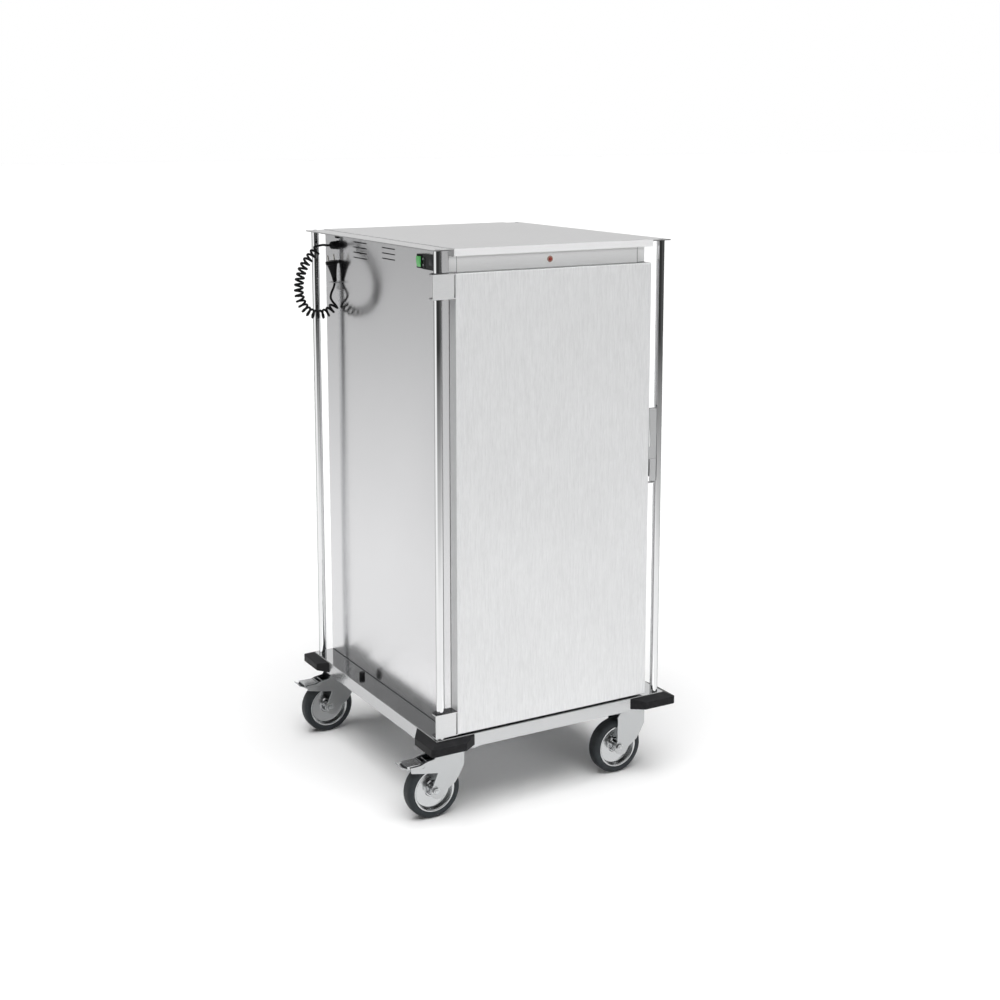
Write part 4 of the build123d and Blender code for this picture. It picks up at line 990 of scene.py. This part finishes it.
@dataclass
class Gland:
    """The screwed cable gland on the side panel, with its fluted cap and a cable clip above."""

    y_mm: float = 320.0
    z_mm: float = 1523.0
    flutes: int = 18
    hexagon: tuple = ((0.0, 0.0), (12.6, 0.0), (13.4, 0.7), (13.4, 6.3), (12.6, 7.0), (0.0, 7.0))
    cap: tuple = (
        *((0.0, 7.0), (11.0, 7.0), (11.3, 7.6), (11.3, 22.4), (11.0, 23.4), (10.2, 24.6)),
        *((8.8, 25.9), (7.6, 26.6), (6.2, 26.9), (3.4, 26.9), (3.4, 22.0), (0.0, 22.0)),
    )
    nut: tuple = ((0.0, -13.0), (7.9, -13.0), (7.9, -7.2), (11.6, -7.2), (11.6, -1.3), (0.0, -1.3))

    def build(self, ribs: Repeater) -> None:
        """Makes the gland.

        Args:
            ribs: Tree for the flutes of the cap.
        """
        out = Vector((-1, 0, 0))
        seat = at(-PANEL_MM, self.y_mm, self.z_mm)
        shell = joined(
            "gland_shell",
            turned("gland_hexagon", self.hexagon, seat, out, sides=6, start=30.0),
            turned("gland_cap", self.cap, seat, out, sides=48),
            turned("gland_nut", self.nut, seat, out, sides=6),
        )
        dressed(shell, CABINET, BLACK_PLASTIC, Slot.BLACK, "cord_gland")
        flutes = ribs.run(
            "gland_flutes",
            {
                "Count": self.flutes,
                "Radius": 0.0113,
                "Rib": (0.0012, 0.0018, 0.0096),
                "Turn": (0.0, math.radians(-90), 0.0),
                "Centre": seat + out * 0.0126,
            },
        )
        dressed(flutes, CABINET, BLACK_PLASTIC, Slot.BLACK)
        clip = joined(
            "cable_clip",
            block("clip_base", at(-PANEL_MM - 1.5, 328, 1546.5), (3.0, 22.0, 8.0), 0.8),
            block("clip_loop", at(-PANEL_MM - 5.0, 325, 1546.5), (4.5, 7.0, 6.0), 1.5),
        )
        dressed(clip, CABINET, BLACK_PLASTIC, Slot.BLACK)


@dataclass
class CornerTubes:
    """The four chromed tubes between the chassis and the roof, and the screws in their ends.

    The front left tube is the hinge post.
    """

    places: tuple = ((-353.0, -396.0), (-353.0, 396.0), (353.0, -396.0), (353.0, 396.0))
    radius_mm: float = 11.0
    high_mm: float = 1560.0
    collar_mm: float = 4.2
    roof_mm: float = 1563.0
    under_mm: float = 235.5
    dome: tuple = (
        *((0.0, -25.0), (3.9, -25.0), (3.9, 0.02), (6.6, 0.02), (7.0, 0.3), (6.6, 1.1), (5.4, 1.9)),
        *((3.6, 2.45), (2.6, 2.56), (2.3, 2.4), (2.1, 0.9), (0.0, 0.9)),
    )
    hexagon: tuple = (
        *((0.0, 25.0), (3.9, 25.0), (3.9, -0.02), (6.9, -0.02), (7.4, -0.6), (7.4, -5.4)),
        *((6.8, -6.0), (0.0, -6.0)),
    )

    def outline(self, collar: bool) -> Outline:
        """Closed outline of a tube: its wall, rounded ends, and the hinge's collar on one."""
        low, high, r = TRAY_MM + 0.02, self.high_mm - 0.02, self.radius_mm
        outer = [(r - 0.5, low), (r, low + 0.5)]
        if collar:
            outer = [(14.6, low), (15.0, low + 0.4), (15.0, low + 3.8), (14.6, low + self.collar_mm)]
            outer += [(r, low + self.collar_mm)]
        outer += [(r, low + 60.0), (r, high - 60.0), (r, high - 0.5), (r - 0.5, high)]
        return outer + [(4.0, high), (4.0, low)]

    def build(self) -> None:
        """Makes the tubes and the screws."""
        chrome = (CABINET, CHROME, Slot.CHROME)
        post, *others = self.places
        tube = turned("hinge_post_tube", self.outline(True), at(*post, 0), UP, sides=72)
        dressed(tube, *chrome, "hinge_post")
        tubes = [turned("tube", self.outline(False), at(*place, 0), UP, sides=72) for place in others]
        dressed(joined("chrome_tubes", *tubes), *chrome, "corner_tubes")
        screws = []
        for place in self.places:
            screws.append(turned("dome", self.dome, at(*place, self.roof_mm), UP, sides=36))
            screws.append(turned("hexagon", self.hexagon, at(*place, self.under_mm), UP, sides=6))
        dressed(joined("tube_screw_set", *screws), CABINET, BOLT_ZINC, Slot.ZINC, "tube_screws")


@dataclass
class Castors:
    """The four swivel castors with steel-cored rubber wheels, two of them with a brake pedal."""

    x_mm: float = 302.5
    y_mm: float = 355.0
    trail_mm: float = 58.5
    axle_mm: float = 80.0
    fork_half_mm: float = 26.0
    tyre: tuple = (
        *((61.6, -17.4), (62.0, -18.9), (63.2, -19.5), (64.6, -19.1), (65.8, -19.5), (68.0, -19.95)),
        *((71.4, -19.8), (74.6, -18.8), (77.2, -16.7), (78.9, -13.6), (79.7, -9.0), (79.95, -3.0)),
        (80.0, -0.5),
    )
    core: tuple = (
        *((6.2, -21.9), (11.4, -21.9), (12.0, -21.3), (12.0, -2.7), (12.7, -2.0), (16.2, -2.0)),
        *((17.0, -2.8), (17.2, -4.8), (17.9, -5.5), (21.2, -5.5), (22.0, -4.8), (22.3, -2.3)),
        *((23.4, -1.5), (50.4, -1.5), (52.6, -2.1), (53.7, -3.8), (54.2, -8.0), (54.7, -13.6)),
        *((55.6, -16.8), (57.2, -18.6), (59.2, -19.2), (60.8, -18.8), (61.5, -17.6)),
    )
    washer: tuple = ((0.0, 0.05), (12.6, 0.05), (12.9, 0.3), (12.9, 1.2), (12.6, 1.5), (0.0, 1.5))
    stub: tuple = ((0.0, 7.6), (4.6, 7.6), (5.0, 7.2), (5.0, 1.0), (0.0, 1.0))
    spacer: tuple = ((6.1, -3.1), (14.6, -3.1), (15.0, -3.4), (15.0, -3.9), (6.1, -3.9))

    def swivel(self, corner: str) -> tuple[float, float]:
        """Place of a castor's swivel axis."""
        x = -self.x_mm if corner.endswith("left") else self.x_mm
        y = -self.y_mm if corner.startswith("front") else self.y_mm
        return x, y

    def axle(self, corner: str) -> Vector:
        """Middle of a castor's wheel."""
        x, y = self.swivel(corner)
        return at(x - self.trail_mm, y, self.axle_mm)

    def wheel_part(self, corner: str, half: tuple, finish: Finish, slot: Slot, name: str) -> None:
        """Tyre or core of a wheel, from the half of its outline that lies below the wheel's middle plane."""
        outline = half + tuple((radius, -height) for radius, height in reversed(half))
        part = turned(f"{name}_{corner}", outline, self.axle(corner), Vector((0, 1, 0)), sides=96)
        dressed(part, f"wheel_{corner}", finish, slot, f"castor_{name}_{corner}")

    def fork(self, corner: str) -> None:
        """Pressed fork, its edges rounded, with the ends of the axle."""
        castor = f"castor_{corner}"
        softened(f"castor_fork_{corner}", f"fork_{corner}", 0.0009, castor, ZINC, Slot.ZINC)
        ends = []
        for side in (-1, 1):
            out = Vector((0, side, 0))
            face = self.axle(corner) + out * (self.fork_half_mm / 1000)
            for outline, sides in ((self.washer, 40), (self.stub, 28), (self.spacer, 40)):
                ends.append(turned("axle_end", outline, face, out, sides=sides))
        dressed(joined(f"axle_ends_{corner}", *ends), castor, BOLT_ZINC, Slot.ZINC)

    def build(self) -> None:
        """Makes the castors."""
        for corner in CORNERS:
            self.wheel_part(corner, self.tyre, TYRE_RUBBER, Slot.TYRE, "tyre")
            self.wheel_part(corner, self.core, RIM_STEEL, Slot.CORE, "core")
            self.fork(corner)
            if corner in BRAKED:
                pedal = f"pedal_{corner}"
                softened(f"castor_{pedal}", pedal, 0.0006, pedal, ZINC, Slot.ZINC)
        softened("castor_plates", "castor_top_plates", 0.0008, CABINET, ZINC, Slot.ZINC)


def build_bumpers() -> None:
    """Makes the four corner bumpers and the door's buffer, with their moulded edges rounded."""
    rubber = (CABINET, BUMPER_RUBBER, Slot.BUMPER)
    softened("corner_bumpers", "rubber_bumpers", 0.0022, *rubber, segments=3)
    softened("door_buffer", "rubber_buffer", 0.0008, *rubber)


@dataclass
class PilotLamp:
    """Pilot lamp in the fascia: a turned bezel and a domed lens."""

    z_mm: float = 1521.6
    rim: tuple = (
        *((5.05, -12.0), (6.1, -12.0), (6.1, 0.02), (8.6, 0.02), (8.75, 0.3), (8.6, 1.2), (8.0, 2.1)),
        *((7.2, 2.55), (6.2, 2.6), (5.4, 2.3), (5.05, 1.6)),
    )
    dome: tuple = (
        *((0.0, -6.0), (4.9, -6.0), (4.9, 2.7), (4.6, 3.3), (3.8, 3.9)),
        *((2.6, 4.3), (1.3, 4.5), (0.0, 4.55)),
    )

    def build(self) -> None:
        """Makes the lamp."""
        seat = at(0, FACE_MM, self.z_mm)
        out = Vector((0, -1, 0))
        bezel = turned("lamp_bezel_ring", self.rim, seat, out, sides=48)
        dressed(bezel, CABINET, LAMP_BEZEL, Slot.BEZEL, "pilot_bezel")
        lens = turned("lamp_lens_dome", self.dome, seat, out, sides=40)
        dressed(lens, CABINET, LAMP_LENS, Slot.LENS, "pilot_lens")


def build_controls() -> None:
    """Makes the rocker switch and the controller with its window and keys, on the left side panel."""
    softened("switch_frame", "rocker_frame", 0.0006, CABINET, BLACK_PLASTIC, Slot.BLACK)
    softened("switch_key", "rocker_key", 0.0007, "switch_key", GREEN_KEY, Slot.GREEN)
    softened("controller_case", "controller_bezel", 0.0006, CABINET, GLOSS_BLACK, Slot.CONTROLLER)
    window = block("controller_window", at(-PANEL_MM - 5.1, -292, 1519), (0.5, 30.0, 17.0), 0.2)
    dressed(window, CABINET, WINDOW_BLACK, Slot.CONTROLLER)
    for row in ("upper", "lower"):
        key = f"controller_key_{row}"
        softened(key, f"key_cap_{row}", 0.0004, key, KEY_GREY, Slot.KEY)


@dataclass
class Sheets:
    """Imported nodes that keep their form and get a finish, and another where a face looks along an axis."""

    plain: tuple = (
        (ROOF_STEEL, "roof_plate"),
        (BACK_STEEL, "back_panel"),
        (COLUMN_STEEL, "front_frame"),
        (FASCIA_STEEL_PAINTED_LIGHT, "fascia"),
        (FRAME_STEEL, "castor_channels", "plug_holder"),
        (INNER_STEEL, "inner_liner", "air_guide", "door_liner"),
        (RUNNER_STEEL, "rack_left", "rack_right", "fan_wheel"),
        (MOTOR_METAL, "fan_motor"),
        (HEATER_STEEL, "heater_bars"),
        (NYLON, "hinge_bushes"),
        (GASKET_RUBBER, "door_gasket"),
        (WOOL, "insulation", "door_core"),
    )
    mixed: tuple = (
        (SKIRT_STEEL, LEDGE_STEEL, 2, "base_tray"),
        (COVER_STEEL, ROOF_STEEL, 2, "roof_cover"),
        (PANEL_STEEL, COLUMN_STEEL, 1, "side_panel_left", "side_panel_right"),
        # On the hinge brackets, the door skin, the grip and the lock, the second finish is painted shade on
        # the faces that look up or down.
        (FRONT_STEEL, SHADED_EDGE_STEEL, 2, "hinge_bracket_upper", "hinge_bracket_lower"),
        (DOOR_STEEL, SHADED_EDGE_STEEL, 2, "door_skin"),
        (GRIP_STEEL, SHADED_EDGE_STEEL, 2, "door_grip", "transport_lock"),
    )

    def build(self) -> None:
        """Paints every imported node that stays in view."""
        for finish, *nodes in self.plain:
            for node in nodes:
                paint_node(node, finish)
        for finish, other, axis, *nodes in self.mixed:
            for node in nodes:
                paint_node(node, finish, other, axis)
        log.info("packed nodes are painted")


@dataclass
class Trims:
    """End plates of the fascia on the front columns, pale with painted light where the roof cover shades
    them, and dark beads where the side panels meet the tray.
    """

    plate_size_mm: Triple = (22.4, 0.6, 43.6)
    plate_place_mm: Triple = (299.2, FACE_MM - 0.3, 1522.8)
    bead_size_mm: Triple = (1.6, 780.0, 1.6)
    bead_place_mm: Triple = (PANEL_MM + 0.8, 19.0, TRAY_MM + 0.8)

    @staticmethod
    def pair(name: str, place_mm: Triple, size_mm: Triple, round_mm: float) -> bpy.types.Object:
        """The same block on both sides of the cabinet, as one piece."""
        x, y, z = place_mm
        return joined(name, *(block(name, at(side * x, y, z), size_mm, round_mm) for side in (-1, 1)))

    def build(self) -> None:
        """Makes the plates and the beads."""
        # The plates' pale finish is partly painted light over the columns' shaded tops.
        plates = self.pair("fascia_ends", self.plate_place_mm, self.plate_size_mm, 0.15)
        dressed(plates, CABINET, FASCIA_STEEL_PAINTED_LIGHT, Slot.BRUSHED)
        # Dark beads along the line where the side panels meet the tray.
        beads = self.pair("dark_foot_beads", self.bead_place_mm, self.bead_size_mm, 0.5)
        dressed(beads, CABINET, GASKET_RUBBER, Slot.BUMPER)


@dataclass
class BackScrews:
    """Two columns of pan-head screws that hold the back panel."""

    x_mm: float = 301.0
    back_mm: float = 415.0
    low_mm: float = 290.0
    high_mm: float = 1530.0
    count: int = 7

    def build(self, heads: Repeater) -> None:
        """Makes the screws with their washers.

        Args:
            heads: Tree for rows of heads.
        """
        step = (self.high_mm - self.low_mm) / (self.count - 1) / 1000
        row = {"Step": (0.0, 0.0, step), "Count": self.count, "Turn": (math.radians(-90), 0.0, 0.0)}
        columns = [
            heads.run("back_column", {"Start": at(x, self.back_mm, self.low_mm), **row})
            for x in (-self.x_mm, self.x_mm)
        ]
        dressed(joined("back_screws", *columns), CABINET, BOLT_ZINC, Slot.ZINC)


def main() -> None:
    """Builds the studio and the trolley, piece by piece."""
    logging.basicConfig(level=logging.INFO, format="%(message)s")
    Studio().build()
    cord = ConnectionCord().build()
    plug = Plug().build()
    heads = row_of_heads(BOLT_ZINC.material())
    ribs = ring_of_ribs(BLACK_PLASTIC.material())
    Gland().build(ribs)
    CornerTubes().build()
    Castors().build()
    build_bumpers()
    PilotLamp().build()
    build_controls()
    Sheets().build()
    Trims().build()
    BackScrews().build(heads)


if __name__ == "__main__":
    main()
